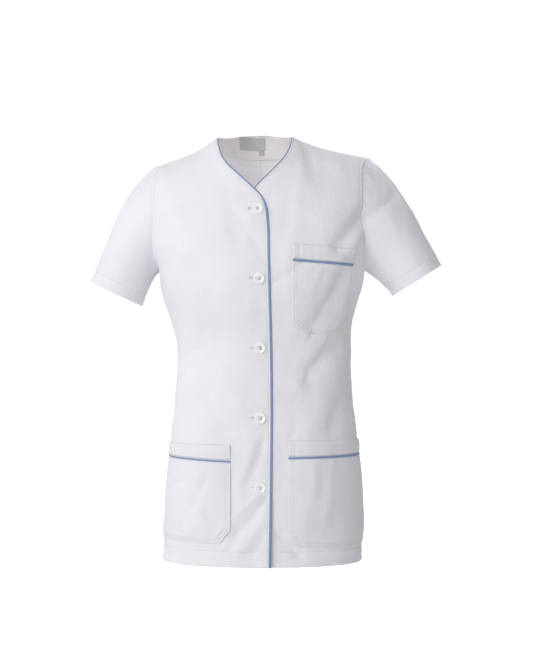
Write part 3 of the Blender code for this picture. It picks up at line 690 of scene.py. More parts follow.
@functools.lru_cache(maxsize=None)
def front_grid(side):
    """One front, from its edge to its side seam and armhole."""
    levels = row_levels()
    inner = edge_across(levels, UPPER_EDGE if side == RIGHT else LOWER_EDGE)
    outer = side * np.where(levels > 0, armhole_across(np.maximum(levels, 0)), 1)
    across = even_across(FRONT, levels, inner, outer, spread(FRONT_WIDTH, COLUMN, EDGE_ZONE, SEAM_ZONE))
    spots = smooth_spot(FRONT, across, levels[:, None])
    if side == RIGHT:
        lift = lap_lift(spots, smooth_spot(FRONT, inner, levels)[:, None, :])
    else:
        lift = under_lift(spots)
    grid = measured(*cloth_spot(FRONT, across, levels[:, None], lift))
    stitches = [("low", HEM_STITCH), ("outer", SEAM_STITCH), ("inner", EDGE_STITCH)]
    return relief(grid, stitches, ["outer", "high"], ["low", "inner"])


@functools.lru_cache(maxsize=None)
def back_grid(side):
    """Half the back, from the centre seam to the side seam and armhole."""
    neck = neck_across(UPPER_EDGE if side == RIGHT else LOWER_EDGE)
    levels = row_levels()
    share = spread(BACK_WIDTH, COLUMN, CENTRE_ZONE, SEAM_ZONE) / BACK_WIDTH
    in_neck = np.clip(share / NECK_SHARE, 0, 1)
    in_shoulder = np.clip((share - NECK_SHARE) / (1 - NECK_SHARE), 0, 1)
    top_level = BACK_NECK_LEVEL + (1 - BACK_NECK_LEVEL) * in_neck**BACK_NECK_SHAPE
    top_across = neck * in_neck + (float(armhole_across(1.0)) - neck) * in_shoulder
    level = levels[:, None]
    above = np.maximum(level, 0)
    across = share + above * (top_across - share)
    across = across + share**4 * (armhole_across(above) - 1 + ARMHOLE_TIP * above)
    row_level = np.where(level > 0, level * top_level, level)
    grid = measured(*cloth_spot(BACK, side * across, row_level))
    grid = relief(grid, [("low", HEM_STITCH)], ["inner", "outer", "high"], ["low"])
    groove = GROOVE * bump_at(grid.outer - SEAM_STITCH, GROOVE_WIDTH)
    return raised(grid, np.where(level > 0, -groove, 0.0))


def armhole_rim(side):
    """Corners of the armhole up the front and down the back, with directions out and away."""
    parts = []
    for grid in (front_grid(side), back_grid(side)):
        spots = grid.points[-YOKE_ROWS - 1:, -1]
        beside = grid.points[-YOKE_ROWS - 1:, -3]
        out = grid.out[-YOKE_ROWS - 1:, -1]
        run = np.gradient(spots, axis=0)
        away = np.cross(run, out)
        away = away * np.sign(np.sum(away * (spots - beside), axis=-1))[:, None]
        parts.append(np.stack([spots, out, unit(away)], axis=1))
    up, down = parts[0], parts[1][::-1]
    low = (parts[0][:1] + parts[1][:1]) / 2
    top = (parts[0][-1:] + parts[1][-1:]) / 2
    return np.concatenate([low, up[1:-1], top, down[1:-1]])


def rounded(rings, from_cuff):
    """Rings with their sharp turn at the shoulder eased out, most of all just below the seam."""
    below_seam = from_cuff[-1] - from_cuff
    width = HEAD_ROUNDING * ease(below_seam / HEAD_START) * ease((HEAD_END - below_seam) / HEAD_FADE)
    waves = np.fft.rfft(rings, axis=1)
    order = np.arange(waves.shape[1])
    keep = np.exp(-0.5 * (2 * math.pi * order * width[:, None] / rings.shape[1]) ** 2)
    return np.fft.irfft(waves * keep[..., None], n=rings.shape[1], axis=1)


def smooth_sleeve(sleeve):
    """Rings of a sleeve before its creases, and how far each is from the cuff."""
    rim = armhole_rim(sleeve.side)
    count = len(rim)
    side = sleeve.side
    lean = math.radians(sleeve.lean)
    axis = np.array([side * math.sin(lean), 0, -math.cos(lean)])
    up_cuff = np.array([side * math.cos(lean), 0, math.sin(lean)])
    cuff = np.array([sleeve.x, sleeve.y, sleeve.height]) * MM
    corner = rim[:, 0]
    low, high = corner[0, 2], corner[count // 2, 2]
    share = (corner[:, 2] - low) / (high - low)
    angle = np.radians(sleeve.under + (sleeve.over - sleeve.under) * share)
    leave = np.stack([side * np.sin(angle), np.zeros(count), -np.cos(angle)], axis=-1)
    start = corner - rim[:, 1] * SLEEVE_INSET
    turn = math.pi - 2 * math.pi * np.arange(count) / count
    end = cuff + up_cuff * (sleeve.half_width * MM * np.cos(turn))[:, None]
    end = end - np.array([0, 1, 0]) * (sleeve.half_depth * MM * np.sin(turn))[:, None]
    reach = np.linalg.norm(end - start, axis=-1, keepdims=True)
    places = spread(SLEEVE_LENGTH, SLEEVE_STEP, SLEEVE_HEAD_ZONE, CUFF_ZONE) / SLEEVE_LENGTH
    t = places[:, None, None]
    points = start * (2 * t**3 - 3 * t**2 + 1) + end * (3 * t**2 - 2 * t**3)
    points = points + leave * reach * (t**3 - 2 * t**2 + t) + axis * reach * (t**3 - t**2)
    return rounded(points[::-1], places * SLEEVE_LENGTH)


@functools.lru_cache(maxsize=None)
def sleeve_grid(sleeve):
    """Rings of a sleeve from the cuff to the armhole."""
    points = smooth_sleeve(sleeve)
    middle = points.mean(axis=1, keepdims=True)
    out = sheet_normals(points, wrap=True)
    out = out * np.sign(np.sum(out * (points - middle), axis=-1, keepdims=True))
    grid = measured(points, out)
    depth = crease_depth(points, None, SLEEVE_CREASES)
    depth += wavy(WAVES, points[..., 0] + points[..., 1], points[..., 2]) * SLEEVE_WAVES
    from_stitch = grid.low - CUFF_STITCH
    depth -= GROOVE * bump_at(from_stitch, GROOVE_WIDTH)
    depth += wavy(PUCKERS, grid.inner) * bump_at(from_stitch, PUCKER_WIDTH)
    gathered = wavy(PUCKERS, grid.inner * HEAD_PUCKER_STRETCH) * HEAD_PUCKERS
    depth += gathered * bump_at(grid.high, HEAD_PUCKER_WIDTH)
    depth -= UNDERARM_DIP * bump_at(grid.inner, UNDERARM_WIDTH)
    return raised(grid, depth * ease(grid.high / SLEEVE_HOLD))


# Meshes.

def sheet_normals(points, wrap=False):
    """Directions square to a grid of points."""
    if wrap:
        padded = np.concatenate([points[:, -1:], points, points[:, :1]], axis=1)
        across = (padded[:, 2:] - padded[:, :-2]) / 2
    else:
        across = np.gradient(points, axis=1)
    return unit(np.cross(across, np.gradient(points, axis=0)))


def grid_faces(rows, columns, wrap=False):
    """Corner indices of the four-sided faces of a grid."""
    index = np.arange(rows * columns).reshape(rows, columns)
    if wrap:
        index = np.concatenate([index, index[:, :1]], axis=1)
    a, b = index[:-1, :-1], index[:-1, 1:]
    c, d = index[1:, 1:], index[1:, :-1]
    return np.stack([a, b, c, d], axis=-1).reshape(-1, 4)


def tube_faces(rings, sides, capped=True):
    """Faces of a tube of rings, with or without its two ends."""
    faces = grid_faces(rings, sides, wrap=True).tolist()
    if capped:
        faces.append(list(range(sides))[::-1])
        faces.append([(rings - 1) * sides + k for k in range(sides)])
    return faces


def mesh_from(name, points, faces):
    """A smooth mesh of points, in any grid, and a list of faces."""
    mesh = bpy.data.meshes.new(name)
    mesh.from_pydata(np.reshape(points, (-1, 3)).tolist(), [], faces)
    mesh.update()
    mesh.shade_smooth()
    return mesh


def tube_mesh(name, tubes, sides, capped=True):
    """One mesh of many tubes, each an array of the rings of its points."""
    points, faces = [], []
    for tube in tubes:
        start = len(points)
        points += tube.reshape(-1, 3).tolist()
        faces += [[start + k for k in face] for face in tube_faces(len(tube), sides, capped)]
    return mesh_from(name, points, faces)


def add_object(name, mesh, material):
    piece = bpy.data.objects.new(name, mesh)
    mesh.materials.append(material)
    bpy.context.scene.collection.objects.link(piece)
    return piece


def attach(piece, slot, *nodes):
    """Let a piece ride on the tunic and stand for CAD nodes; slot is not used."""
    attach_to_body(piece, "root")
    if nodes:
        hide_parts(*nodes)
    return piece


def lay_flat(mesh, u, v):
    """Map a mesh by lengths on the flat cloth, one pair for each point."""
    layer = mesh.uv_layers.new(name="cloth")
    corners = np.empty(len(mesh.loops), dtype=np.int32)
    mesh.loops.foreach_get("vertex_index", corners)
    layer.data.foreach_set("uv", np.stack([u[corners], v[corners]], axis=-1).ravel())


def cloth_piece(name, grid, material, thickness, wrap=False, doubled=None):
    """A thin shell of cloth inside a grid of outer points; doubled marks where it is twice as thick."""
    rows, columns = grid.points.shape[:2]
    faces = grid_faces(rows, columns, wrap)
    out = grid.out.reshape(-1, 3)
    points = grid.points.reshape(-1, 3)
    a, b, c = (points[faces[:, k]] for k in (0, 1, 2))
    facing = np.sum(np.cross(b - a, c - a) * out[faces[:, 0]])
    if facing < 0:
        faces = faces[:, ::-1]
    mesh = mesh_from(name, points, faces.tolist())
    lay_flat(mesh, grid.inner.reshape(-1), grid.low.reshape(-1))
    piece = add_object(name, mesh, material)
    shell = piece.modifiers.new("Cloth", "SOLIDIFY")
    shell.thickness = thickness
    shell.offset = -1
    shell.use_rim = True
    shell.use_even_offset = False
    if doubled is not None:
        group = piece.vertex_groups.new(name="hem")
        shell.thickness = thickness * 2
        shell.vertex_group = group.name
        shell.thickness_vertex_group = 0.5
        group.add(np.flatnonzero(doubled.reshape(-1)).tolist(), 1.0, "REPLACE")
    return piece


def crossing(grid, field, value, by_column=False):
    """Line on a grid where a distance field has a value, one point to a row or column."""
    points, out = grid.points, grid.out
    if by_column:
        points, out, field = points.swapaxes(0, 1), out.swapaxes(0, 1), field.T
    line, normals = [], []
    for row in range(len(points)):
        values = field[row]
        if not values.min() <= value <= values.max():
            continue
        sign = np.sign(values - value)
        found = np.flatnonzero(sign[:-1] != sign[1:])
        if not len(found):
            continue
        i = found[0]
        t = (value - values[i]) / (values[i + 1] - values[i] + 1e-12)
        line.append(points[row, i] * (1 - t) + points[row, i + 1] * t)
        normals.append(out[row, i] * (1 - t) + out[row, i + 1] * t)
    return np.array(line), unit(np.array(normals))


def line_on(grid, edge, distance):
    """Line on a grid at a distance from one of its four edges."""
    return crossing(grid, getattr(grid, edge), distance, by_column=edge in ("low", "high"))


def at_places(at, run, values):
    """Points or directions at places along a run."""
    return np.stack([np.interp(at, run, values[:, k]) for k in range(3)], axis=-1)


def stitched(name, lines, material, width):
    """One mesh of all stitches along lines of points on the cloth."""
    centres, runs, ups = [], [], []
    for points, normals in lines:
        run = lengths_along(points, 0)
        count = int((run[-1] - STITCH_PITCH) / STITCH_PITCH)
        if count < 1:
            continue
        at = (np.arange(count) + 0.75) * STITCH_PITCH
        step = STITCH_PITCH * 0.25
        centres.append(at_places(at, run, points))
        runs.append(unit(at_places(at + step, run, points) - at_places(at - step, run, points)))
        ups.append(unit(at_places(at, run, normals)))
    centre, run, up = np.concatenate(centres), np.concatenate(runs), np.concatenate(ups)
    side = unit(np.cross(run, up))
    length = STITCH_PITCH - STITCH_GAP
    wide, high = STITCH_ROUND
    rings = []
    for ring in STITCH:
        middle = centre + run * ring.at * length + up * ring.lift * width
        for turn in 2 * math.pi * np.arange(STITCH_SIDES) / STITCH_SIDES:
            spoke = side * math.cos(turn) * wide + up * math.sin(turn) * high
            rings.append(middle + spoke * width * ring.size)
    tubes = np.stack(rings, axis=1).reshape(len(centre), len(STITCH), STITCH_SIDES, 3)
    return add_object(name, tube_mesh(name, tubes, STITCH_SIDES), material)


def swept(name, points, out, side_way, half_width, half_height, material, sides=12):
    """A rounded strip along a line; its cross-section is an ellipse across side_way and out."""
    turns = 2 * math.pi * np.arange(sides) / sides
    ring = []
    for turn in turns:
        lift = math.sin(turn) * half_height
        ring.append(points + side_way * (math.cos(turn) * half_width) + out * lift)
    mesh = tube_mesh(name, [np.stack(ring, axis=1)], sides)
    work = bmesh.new()
    work.from_mesh(mesh)
    bmesh.ops.recalc_face_normals(work, faces=work.faces[:])
    work.to_mesh(mesh)
    work.free()
    lay_flat(mesh, np.tile(turns * np.mean(half_width), len(points)),
             np.repeat(lengths_along(points, 0), sides))
    return add_object(name, mesh, material)


# Materials.

def feed(tree, socket, value):
    """Set a socket to a number, or join it to another socket."""
    if isinstance(value, (int, float)):
        socket.default_value = value
    else:
        tree.links.new(value, socket)


def math_node(tree, operation, *values):
    """A Math node whose inputs are numbers or sockets."""
    node = tree.nodes.new("ShaderNodeMath")
    node.operation = operation
    for socket, value in zip(node.inputs, values):
        feed(tree, socket, value)
    return node.outputs[0]


def noise_node(tree, vector, scale, detail):
    """Noise at a vector."""
    node = tree.nodes.new("ShaderNodeTexNoise")
    node.inputs["Detail"].default_value = detail
    feed(tree, node.inputs["Scale"], scale)
    tree.links.new(vector, node.inputs["Vector"])
    return node


def bump_node(tree, height, distance, strength=1.0):
    """Bump from a height mask, the given distance high."""
    node = tree.nodes.new("ShaderNodeBump")
    node.inputs["Distance"].default_value = distance
    node.inputs["Strength"].default_value = strength
    tree.links.new(height, node.inputs["Height"])
    return node


def shaded(tree, mask, colour, dark, low=0.0, high=1.0):
    """A colour where a mask is high, and its darker shade where the mask is low."""
    ramp = tree.nodes.new("ShaderNodeValToRGB")
    first, last = ramp.color_ramp.elements
    first.position = low
    last.position = high
    first.color = (*[c * dark for c in colour], 1)
    last.color = (*colour, 1)
    tree.links.new(mask, ramp.inputs[0])
    return ramp.outputs[0]


def fill_weave(tree, given, result):
    """Plain weave over the cloth's own lengths: threads that pass over and under each other."""
    uv = tree.nodes.new("ShaderNodeUVMap")
    uv.uv_map = "cloth"
    parts = tree.nodes.new("ShaderNodeSeparateXYZ")
    tree.links.new(uv.outputs["UV"], parts.inputs[0])
    slub = noise_node(tree, uv.outputs["UV"], 90, 3)
    swing = math_node(tree, "MULTIPLY", slub.outputs[0], given["Unevenness"])
    waves = []
    for axis in ("X", "Y"):
        place = math_node(tree, "DIVIDE", parts.outputs[axis], given["Pitch"])
        place = math_node(tree, "ADD", place, swing)
        waves.append(math_node(tree, "SINE", math_node(tree, "MULTIPLY", place, math.pi)))
    over = math_node(tree, "GREATER_THAN", math_node(tree, "MULTIPLY", *waves), 0)
    under = math_node(tree, "SUBTRACT", 1, over)
    warp = math_node(tree, "MULTIPLY", math_node(tree, "ABSOLUTE", waves[0]), over)
    weft = math_node(tree, "MULTIPLY", math_node(tree, "ABSOLUTE", waves[1]), under)
    height = math_node(tree, "ADD", warp, weft)
    tree.links.new(height, result["Height"])
    tree.links.new(math_node(tree, "LESS_THAN", height, 0.35), result["Gap"])


def fill_mottle(tree, given, result):
    """Slow unevenness of the cloth's shade and fine unevenness of its surface."""
    place = tree.nodes.new("ShaderNodeTexCoord")
    for label, output, detail in (("Scale", "Slow", 3), ("Fine scale", "Fine", 2)):
        noise = noise_node(tree, place.outputs["Object"], given[label], detail)
        tree.links.new(noise.outputs[0], result[output])


def fill_crumple(tree, given, result):
    """Shallow unevenness left by washing, longer down the cloth than across it."""
    place = tree.nodes.new("ShaderNodeTexCoord")
    stretch = tree.nodes.new("ShaderNodeCombineXYZ")
    stretch.inputs[0].default_value = 1
    stretch.inputs[1].default_value = 1
    tree.links.new(given["Length"], stretch.inputs[2])
    scaled = tree.nodes.new("ShaderNodeVectorMath")
    scaled.operation = "MULTIPLY"
    tree.links.new(place.outputs["Object"], scaled.inputs[0])
    tree.links.new(stretch.outputs[0], scaled.inputs[1])
    noise = noise_node(tree, scaled.outputs[0], given["Scale"], 4)
    noise.inputs["Roughness"].default_value = 0.55
    tree.links.new(noise.outputs[0], result["Height"])


# What fills each group, its inputs with their defaults, and its outputs.
GROUPS = {
    "Plain weave": (fill_weave, {"Pitch": 0.0005, "Unevenness": 0.5}, ("Height", "Gap")),
    "Mottle": (fill_mottle, {"Scale": 9.0, "Fine scale": 240.0}, ("Slow", "Fine")),
    "Crumple": (fill_crumple, {"Scale": 40.0, "Length": 0.5}, ("Height",)),
}


def node_group(name):
    """A shader node group of the table above, made once."""
    if name in bpy.data.node_groups:
        return bpy.data.node_groups[name]
    fill, inputs, outputs = GROUPS[name]
    tree = bpy.data.node_groups.new(name, "ShaderNodeTree")
    for label, default in inputs.items():
        socket = tree.interface.new_socket(name=label, in_out="INPUT", socket_type="NodeSocketFloat")
        socket.default_value = default
    for label in outputs:
        tree.interface.new_socket(name=label, in_out="OUTPUT", socket_type="NodeSocketFloat")
    given = tree.nodes.new("NodeGroupInput").outputs
    result = tree.nodes.new("NodeGroupOutput").inputs
    fill(tree, given, result)
    return tree


def place_group(tree, name, **values):
    """A group placed in a material with its own values."""
    node = tree.nodes.new("ShaderNodeGroup")
    node.node_tree = node_group(name)
    for label, value in values.items():
        node.inputs[label.replace("_", " ")].default_value = value
    return node


def start_material(name):
    """A new material with its nodes, or the one of that name with none."""
    if name in bpy.data.materials:
        return bpy.data.materials[name], None, None
    material = bpy.data.materials.new(name)
    material.use_nodes = True
    tree = material.node_tree
    return material, tree, tree.nodes["Principled BSDF"]


def woven_material(name, colour, gap_shade=0.9, pitch=0.0005, depth=0.00008, rough=0.88, sheen=0.12,
                   slow=0.05, glow_through=0.0, crumpled=1.5 * MM):
    """Woven cloth: a colour with slow unevenness, painted shade in the gaps between threads and a raised
    weave.
    """
    material, tree, shader = start_material(name)
    if tree is None:
        return material
    weave = place_group(tree, "Plain weave", Pitch=pitch)
    mottle = place_group(tree, "Mottle")
    # Painted shade: the colour is multiplied by gap_shade where the weave leaves gaps between threads.
    gaps = tree.nodes.new("ShaderNodeMix")
    gaps.data_type = "RGBA"
    gaps.blend_type = "MULTIPLY"
    gaps.inputs["B"].default_value = (gap_shade, gap_shade, gap_shade, 1)
    tree.links.new(weave.outputs["Gap"], gaps.inputs["Factor"])
    tree.links.new(shaded(tree, mottle.outputs["Slow"], colour, 1 - slow, 0.3, 0.7), gaps.inputs["A"])
    tree.links.new(gaps.outputs["Result"], shader.inputs["Base Color"])
    roughness = math_node(tree, "MULTIPLY_ADD", mottle.outputs["Fine"], 0.1, rough - 0.05)
    tree.links.new(roughness, shader.inputs["Roughness"])
    height = math_node(tree, "MULTIPLY_ADD", mottle.outputs["Fine"], 0.6, weave.outputs["Height"])
    raised_weave = bump_node(tree, height, depth, 0.6)
    crumple = place_group(tree, "Crumple")
    raised_cloth = bump_node(tree, crumple.outputs["Height"], crumpled)
    tree.links.new(raised_weave.outputs[0], raised_cloth.inputs["Normal"])
    tree.links.new(raised_cloth.outputs[0], shader.inputs["Normal"])
    shader.inputs["Subsurface Weight"].default_value = glow_through
    shader.inputs["Subsurface Scale"].default_value = 1.0 * MM
    shader.inputs["Subsurface Radius"].default_value = (1, 1, 1)
    shader.inputs["Sheen Weight"].default_value = sheen
    shader.inputs["Sheen Roughness"].default_value = 0.5
    shader.inputs["Specular IOR Level"].default_value = 0.25
    return material


def thread_material(name, colour):
    """Twisted sewing thread."""
    material, tree, shader = start_material(name)
    if tree is None:
        return material
    mottle = place_group(tree, "Mottle", Fine_scale=900.0)
    tree.links.new(shaded(tree, mottle.outputs["Fine"], colour, 0.86), shader.inputs["Base Color"])
    rough = math_node(tree, "MULTIPLY_ADD", mottle.outputs["Slow"], 0.12, 0.5)
    tree.links.new(rough, shader.inputs["Roughness"])
    return material


def button_material(name, colour):
    """Cast resin, slightly cloudy, with a soft gloss."""
    material, tree, shader = start_material(name)
    if tree is None:
        return material
    mottle = place_group(tree, "Mottle", Scale=160.0, Fine_scale=600.0)
    tree.links.new(shaded(tree, mottle.outputs["Slow"], colour, 0.97, 0.25), shader.inputs["Base Color"])
    rough = math_node(tree, "MULTIPLY_ADD", mottle.outputs["Fine"], 0.12, 0.2)
    tree.links.new(rough, shader.inputs["Roughness"])
    bump = bump_node(tree, mottle.outputs["Fine"], 0.00002)
    tree.links.new(bump.outputs[0], shader.inputs["Normal"])
    shader.inputs["Specular IOR Level"].default_value = 0.8
    shader.inputs["Coat Weight"].default_value = 0.8
    shader.inputs["Coat Roughness"].default_value = 0.15
    return material


def floor_material(name, colour):
    """Matt paper floor with its own light, so that it stays pale."""
    material, tree, shader = start_material(name)
    if tree is None:
        return material
    mottle = place_group(tree, "Mottle", Scale=2.0, Fine_scale=30.0)
    tree.links.new(shaded(tree, mottle.outputs["Slow"], colour, 0.98), shader.inputs["Base Color"])
    shader.inputs["Roughness"].default_value = 0.95
    seen = tree.nodes.new("ShaderNodeLightPath")
    shader.inputs["Emission Color"].default_value = (1, 1, 1, 1)
    tree.links.new(seen.outputs["Is Camera Ray"], shader.inputs["Emission Strength"])
    return material


# Settings.

def colour_property(label, description, default):
    return FloatVectorProperty(
        name=label, description=description, subtype="COLOR", size=3, min=0, max=1, default=default
    )


def length_property(label, description, default):
    return FloatProperty(
        name=label, description=description, default=default, min=0, unit="LENGTH", subtype="DISTANCE"
    )


def power_property(label, description, default):
    return FloatProperty(name=label, description=description, default=default, min=0, unit="POWER")


class TunicClothSettings(bpy.types.PropertyGroup):
    """Cloth of the panels, sleeves and pockets."""

    thickness: length_property("Thickness", "Thickness of one layer of cloth", 0.6 * MM)
    colour: colour_property("Colour", "Outer side of the cloth", (0.92, 0.92, 0.975))
    stitch_width: length_property("Stitch width", "Width of the sewing thread", 0.5 * MM)
    thread_colour: colour_property("Thread", "Sewing thread", (0.74, 0.74, 0.78))


class TunicTrimSettings(bpy.types.PropertyGroup):
    """Piping, facing, label and buttons."""

    piping_width: length_property("Piping width", "Down the front edge", 3.8 * MM)
    neck_piping_width: length_property("Neckline piping", "Width that shows there", 2.1 * MM)
    piping_colour: colour_property("Piping", "Satin-woven piping", (0.25, 0.355, 0.61))
    facing_colour: colour_property("Facing", "Inside of the back neck", (0.925, 0.915, 0.93))
    label_colour: colour_property("Label", "Woven label", (0.62, 0.62, 0.66))
    button_radius: length_property("Button radius", "Half the width of a button", 9.5 * MM)
    button_colour: colour_property("Button", "Resin of the buttons", (0.99, 0.99, 0.985))
    # Greyer than white thread: the thread's colour also carries painted shade of the button's holes and
    # dish.
    button_thread_and_shade: colour_property("Button thread", "Thread through the buttons", (0.64, 0.64, 0.68))


class TunicStageSettings(bpy.types.PropertyGroup):
    """Floor, lights and camera."""

    floor_height: FloatProperty(name="Floor height", default=-1.0, unit="LENGTH",
                                description="Height of the floor below the shoulders")
    floor_colour: colour_property("Floor", "Paper floor", (0.9, 0.9, 0.9))
    lead_power: power_property("Lead light", "Power of the large light left of the camera", 43.0)
    top_power: power_property("Top light", "Power of the light above the neck", 3.0)
    rear_power: power_property("Rear light", "Power of the weak light behind the back", 9.0)
    inner_power: power_property("Inner light", "Power of the light inside, below the neck", 0.17)
    ambient: FloatProperty(name="Surroundings", description="Strength of the light from all sides",
                           default=0.255, min=0)
    ambient_left: FloatProperty(name="Surroundings, left", description="Extra at the viewer's left",
                                default=0.6, min=0)
    camera_distance: length_property("Camera distance", "From the camera to the tunic", 3.0)
    lens: FloatProperty(name="Lens", description="Focal length in millimetres", default=115.79, min=1)


def settings():
    """The values of the three groups above."""
    scene = bpy.context.scene
    return scene.tunic_cloth, scene.tunic_trim, scene.tunic_stage


def cloth_material():
    cloth, _, _ = settings()
    return woven_material("White cloth", tuple(cloth.colour), glow_through=0.3)


def white_thread():
    cloth, _, _ = settings()
    return thread_material("White thread", tuple(cloth.thread_colour))


def piping_material():
    _, trim, _ = settings()
    return woven_material(
        "Blue piping", tuple(trim.piping_colour), gap_shade=0.8, pitch=0.00035, depth=0.00005,
        rough=0.55, sheen=0.3, slow=0.12,
    )


# Pieces.

def cut_piece(node, grid, lines, flat, rests_on, area=None, wrap=False, doubled=None):
    """A cut piece of the white cloth with its stitches, in place of its CAD node."""
    cloth, _, _ = settings()
    piece = cloth_piece(f"{node}_cloth", grid, cloth_material(), cloth.thickness, wrap, doubled)
    sewn_piece(piece, node, lines, "cloth", flat, rests_on, area)


def sewn_piece(piece, node, lines, slot, flat, rests_on, area=None):
    """Fasten a piece of cloth to the tunic with its stitches; flat, rests_on and area are not used."""
    cloth, _, _ = settings()
    attach(piece, slot, node)
    stitches = stitched(f"{node}_stitches", lines, white_thread(), cloth.stitch_width)
    attach(stitches, "cloth")


class TUNIC_OT_fronts(bpy.types.Operator):
    """Both fronts with their hems and topstitching"""

    bl_idname = "tunic.fronts"
    bl_label = "Fronts"

    def execute(self, context):
        for side in (RIGHT, LEFT):
            grid = front_grid(side)
            lines = [
                line_on(grid, "low", HEM_STITCH),
                line_on(grid, "outer", SEAM_STITCH),
                line_on(grid, "inner", EDGE_STITCH),
                line_on(rows_of(grid, slice(FACING_ROWS)), "inner", FACING_STITCH),
            ]
            cut_piece(FRONTS[side], grid, lines, (0.26, 0.75), BACKS[side], area=0.173,
                      doubled=grid.low < HEM_STITCH + HEM_MARGIN)
        return {"FINISHED"}


class TUNIC_OT_backs(bpy.types.Operator):
    """Both halves of the back with the centre seam and hems"""

    bl_idname = "tunic.backs"
    bl_label = "Back halves"

    def execute(self, context):
        for side in (RIGHT, LEFT):
            grid = back_grid(side)
            lines = [
                line_on(grid, "low", HEM_STITCH),
                line_on(rows_of(grid, slice(-YOKE_ROWS - 1, None)), "outer", SEAM_STITCH),
            ]
            cut_piece(BACKS[side], grid, lines, (0.25, 0.76), FRONTS[side], area=0.168,
                      doubled=grid.low < HEM_STITCH + HEM_MARGIN)
        return {"FINISHED"}


class TUNIC_OT_sleeves(bpy.types.Operator):
    """Both sleeves with their hems"""

    bl_idname = "tunic.sleeves"
    bl_label = "Sleeves"

    def execute(self, context):
        for sleeve in SLEEVES:
            grid = sleeve_grid(sleeve)
            hem = tuple(np.concatenate([part, part[:1]]) for part in line_on(grid, "low", CUFF_STITCH))
            cut_piece(sleeve.name, grid, [hem], (0.42, 0.24), FRONTS[sleeve.side], area=0.054,
                      wrap=True, doubled=grid.low < CUFF_STITCH + HEM_MARGIN)
        return {"FINISHED"}


def pocket_outline(pocket):
    """Heights of a pocket's lines and x of its inner and outer edges, as functions in metres."""
    p = pocket

    def sloped(at_inner, at_outer):
        def height(x):
            share = (np.abs(x) / MM - abs(p.inner_top)) / (POCKET_SLOPE_X - abs(p.inner_top))
            return (at_inner + (at_outer - at_inner) * share) * MM
        return height

    def edge_x(top, low):
        def at(z):
            share = (z / MM - p.low_in) / (p.top_in - p.low_in)
            return (low + (top - low) * share) * MM
        return at

    return (
        sloped(p.low_in, p.low_out), sloped(p.seam_in, p.seam_out), sloped(p.top_in, p.top_out),
        edge_x(p.inner_top, p.inner_low), edge_x(p.outer_top, p.outer_low),
    )


def pocket_grid(pocket, low_line, high_line, lift, corner=False):
    """Grid on a front between two sloped lines, from a pocket's inner to its outer edge."""
    p = pocket
    _, _, _, inner_x, outer_x = pocket_outline(pocket)
    middle_x = p.side * 0.1
    height = float(high_line(middle_x) - low_line(middle_x))
    rows = spread(height, COLUMN, min(SEAM_ZONE, height / 3), 0) / height
    places = spread(POCKET_WIDTH, COLUMN, SEAM_ZONE, SEAM_ZONE)
    low_z = float(low_line(p.inner_low * MM))
    start_z = low_z + rows * float(high_line(p.inner_top * MM) - low_line(p.inner_low * MM))
    start_x = inner_x(start_z)
    if corner:
        cut = np.clip((p.low_in + p.chamfer_z - start_z / MM) / p.chamfer_z, 0, 1)
        start_x = start_x + p.side * p.chamfer_x * MM * cut
    level = (start_z - UNDERARM) / LEVEL_HEIGHT
    inner = across_at(start_x, level)
    reach = smooth_spot(FRONT, np.full(level.shape, 1.0 * p.side), level)[:, 0]
    end_x = outer_x(start_z)
    outer = np.where(np.abs(end_x) < np.abs(reach), across_at(end_x, level), p.side)
    across = even_across(FRONT, level, inner, outer, places)
    spots = smooth_spot(FRONT, across, level[:, None])
    for _ in range(3):
        x = spots[..., 0]
        z = low_line(x) + rows[:, None] * (high_line(x) - low_line(x))
        spots = smooth_spot(FRONT, across, (z - UNDERARM) / LEVEL_HEIGHT)
    level = (z - UNDERARM) / LEVEL_HEIGHT
    if p.side == RIGHT:
        edge = edge_across(level[:, 0], UPPER_EDGE)
        lift = lift + lap_lift(spots, smooth_spot(FRONT, edge, level[:, 0])[:, None, :])
    return measured(*cloth_spot(FRONT, across, level, lift))


def corner_distance(pocket, grid):
    """Distance from a pocket's inner edge and its slanting corner, in front view."""
    p = pocket
    corner = np.array([p.inner_low, p.low_in + p.chamfer_z]) * MM
    run = np.array([p.side * p.chamfer_x, -p.chamfer_z]) * MM
    normal = np.array([-run[1], run[0]])
    normal = normal / np.linalg.norm(normal)
    if normal[0] * p.side < 0:
        normal = -normal
    plane = grid.points[..., [0, 2]]
    slanting = (plane - corner) @ normal
    straight = (grid.points[..., 0] - p.inner_low * MM) * p.side
    return np.minimum(straight, slanting)


def corner_share(pocket, grid):
    """1 beside a pocket's slanting corner and 0 away from it."""
    x = (np.abs(grid.points[..., 0]) / MM - abs(pocket.inner_low)) / pocket.chamfer_x
    z = (grid.points[..., 2] / MM - pocket.low_in) / pocket.chamfer_z
    return ease(3 - 2 * x) * ease(3 - 2 * z)


def pocket_relief(pocket, body, inset):
    """A pocket's turned edges, its grooves and puckers, and how it stands off the front."""
    depth = -POCKET_EDGE_DIP * bump_at(np.minimum(inset, body.low), POCKET_EDGE_WIDTH)
    depth -= POCKET_SIDE_DIP * bump_at(body.outer, pocket.side_width * MM)
    depth += POCKET_BULGE * ease(body.low / POCKET_TURN) * ease(body.high / (2 * POCKET_TURN))
    slanting = pocket.corner_pull * MM * corner_share(pocket, body)
    for distance, groove in zip(POCKET_STITCHES, POCKET_GROOVES):
        beside, above = inset - distance, body.low - distance
        depth -= (groove + slanting) * bump_at(beside, POCKET_GROOVE_WIDTH) * (above >= 0)
        depth -= groove * bump_at(above, POCKET_GROOVE_WIDTH) * (beside >= 0)
        puckers = wavy(PUCKERS, body.low + 0.01 * distance) * POCKET_PUCKERS
        depth += puckers * bump_at(beside, POCKET_PUCKER_WIDTH)
        puckers = wavy(PUCKERS, body.inner) * POCKET_PUCKERS
        depth += puckers * bump_at(above, POCKET_PUCKER_WIDTH)
    return raised(body, depth)


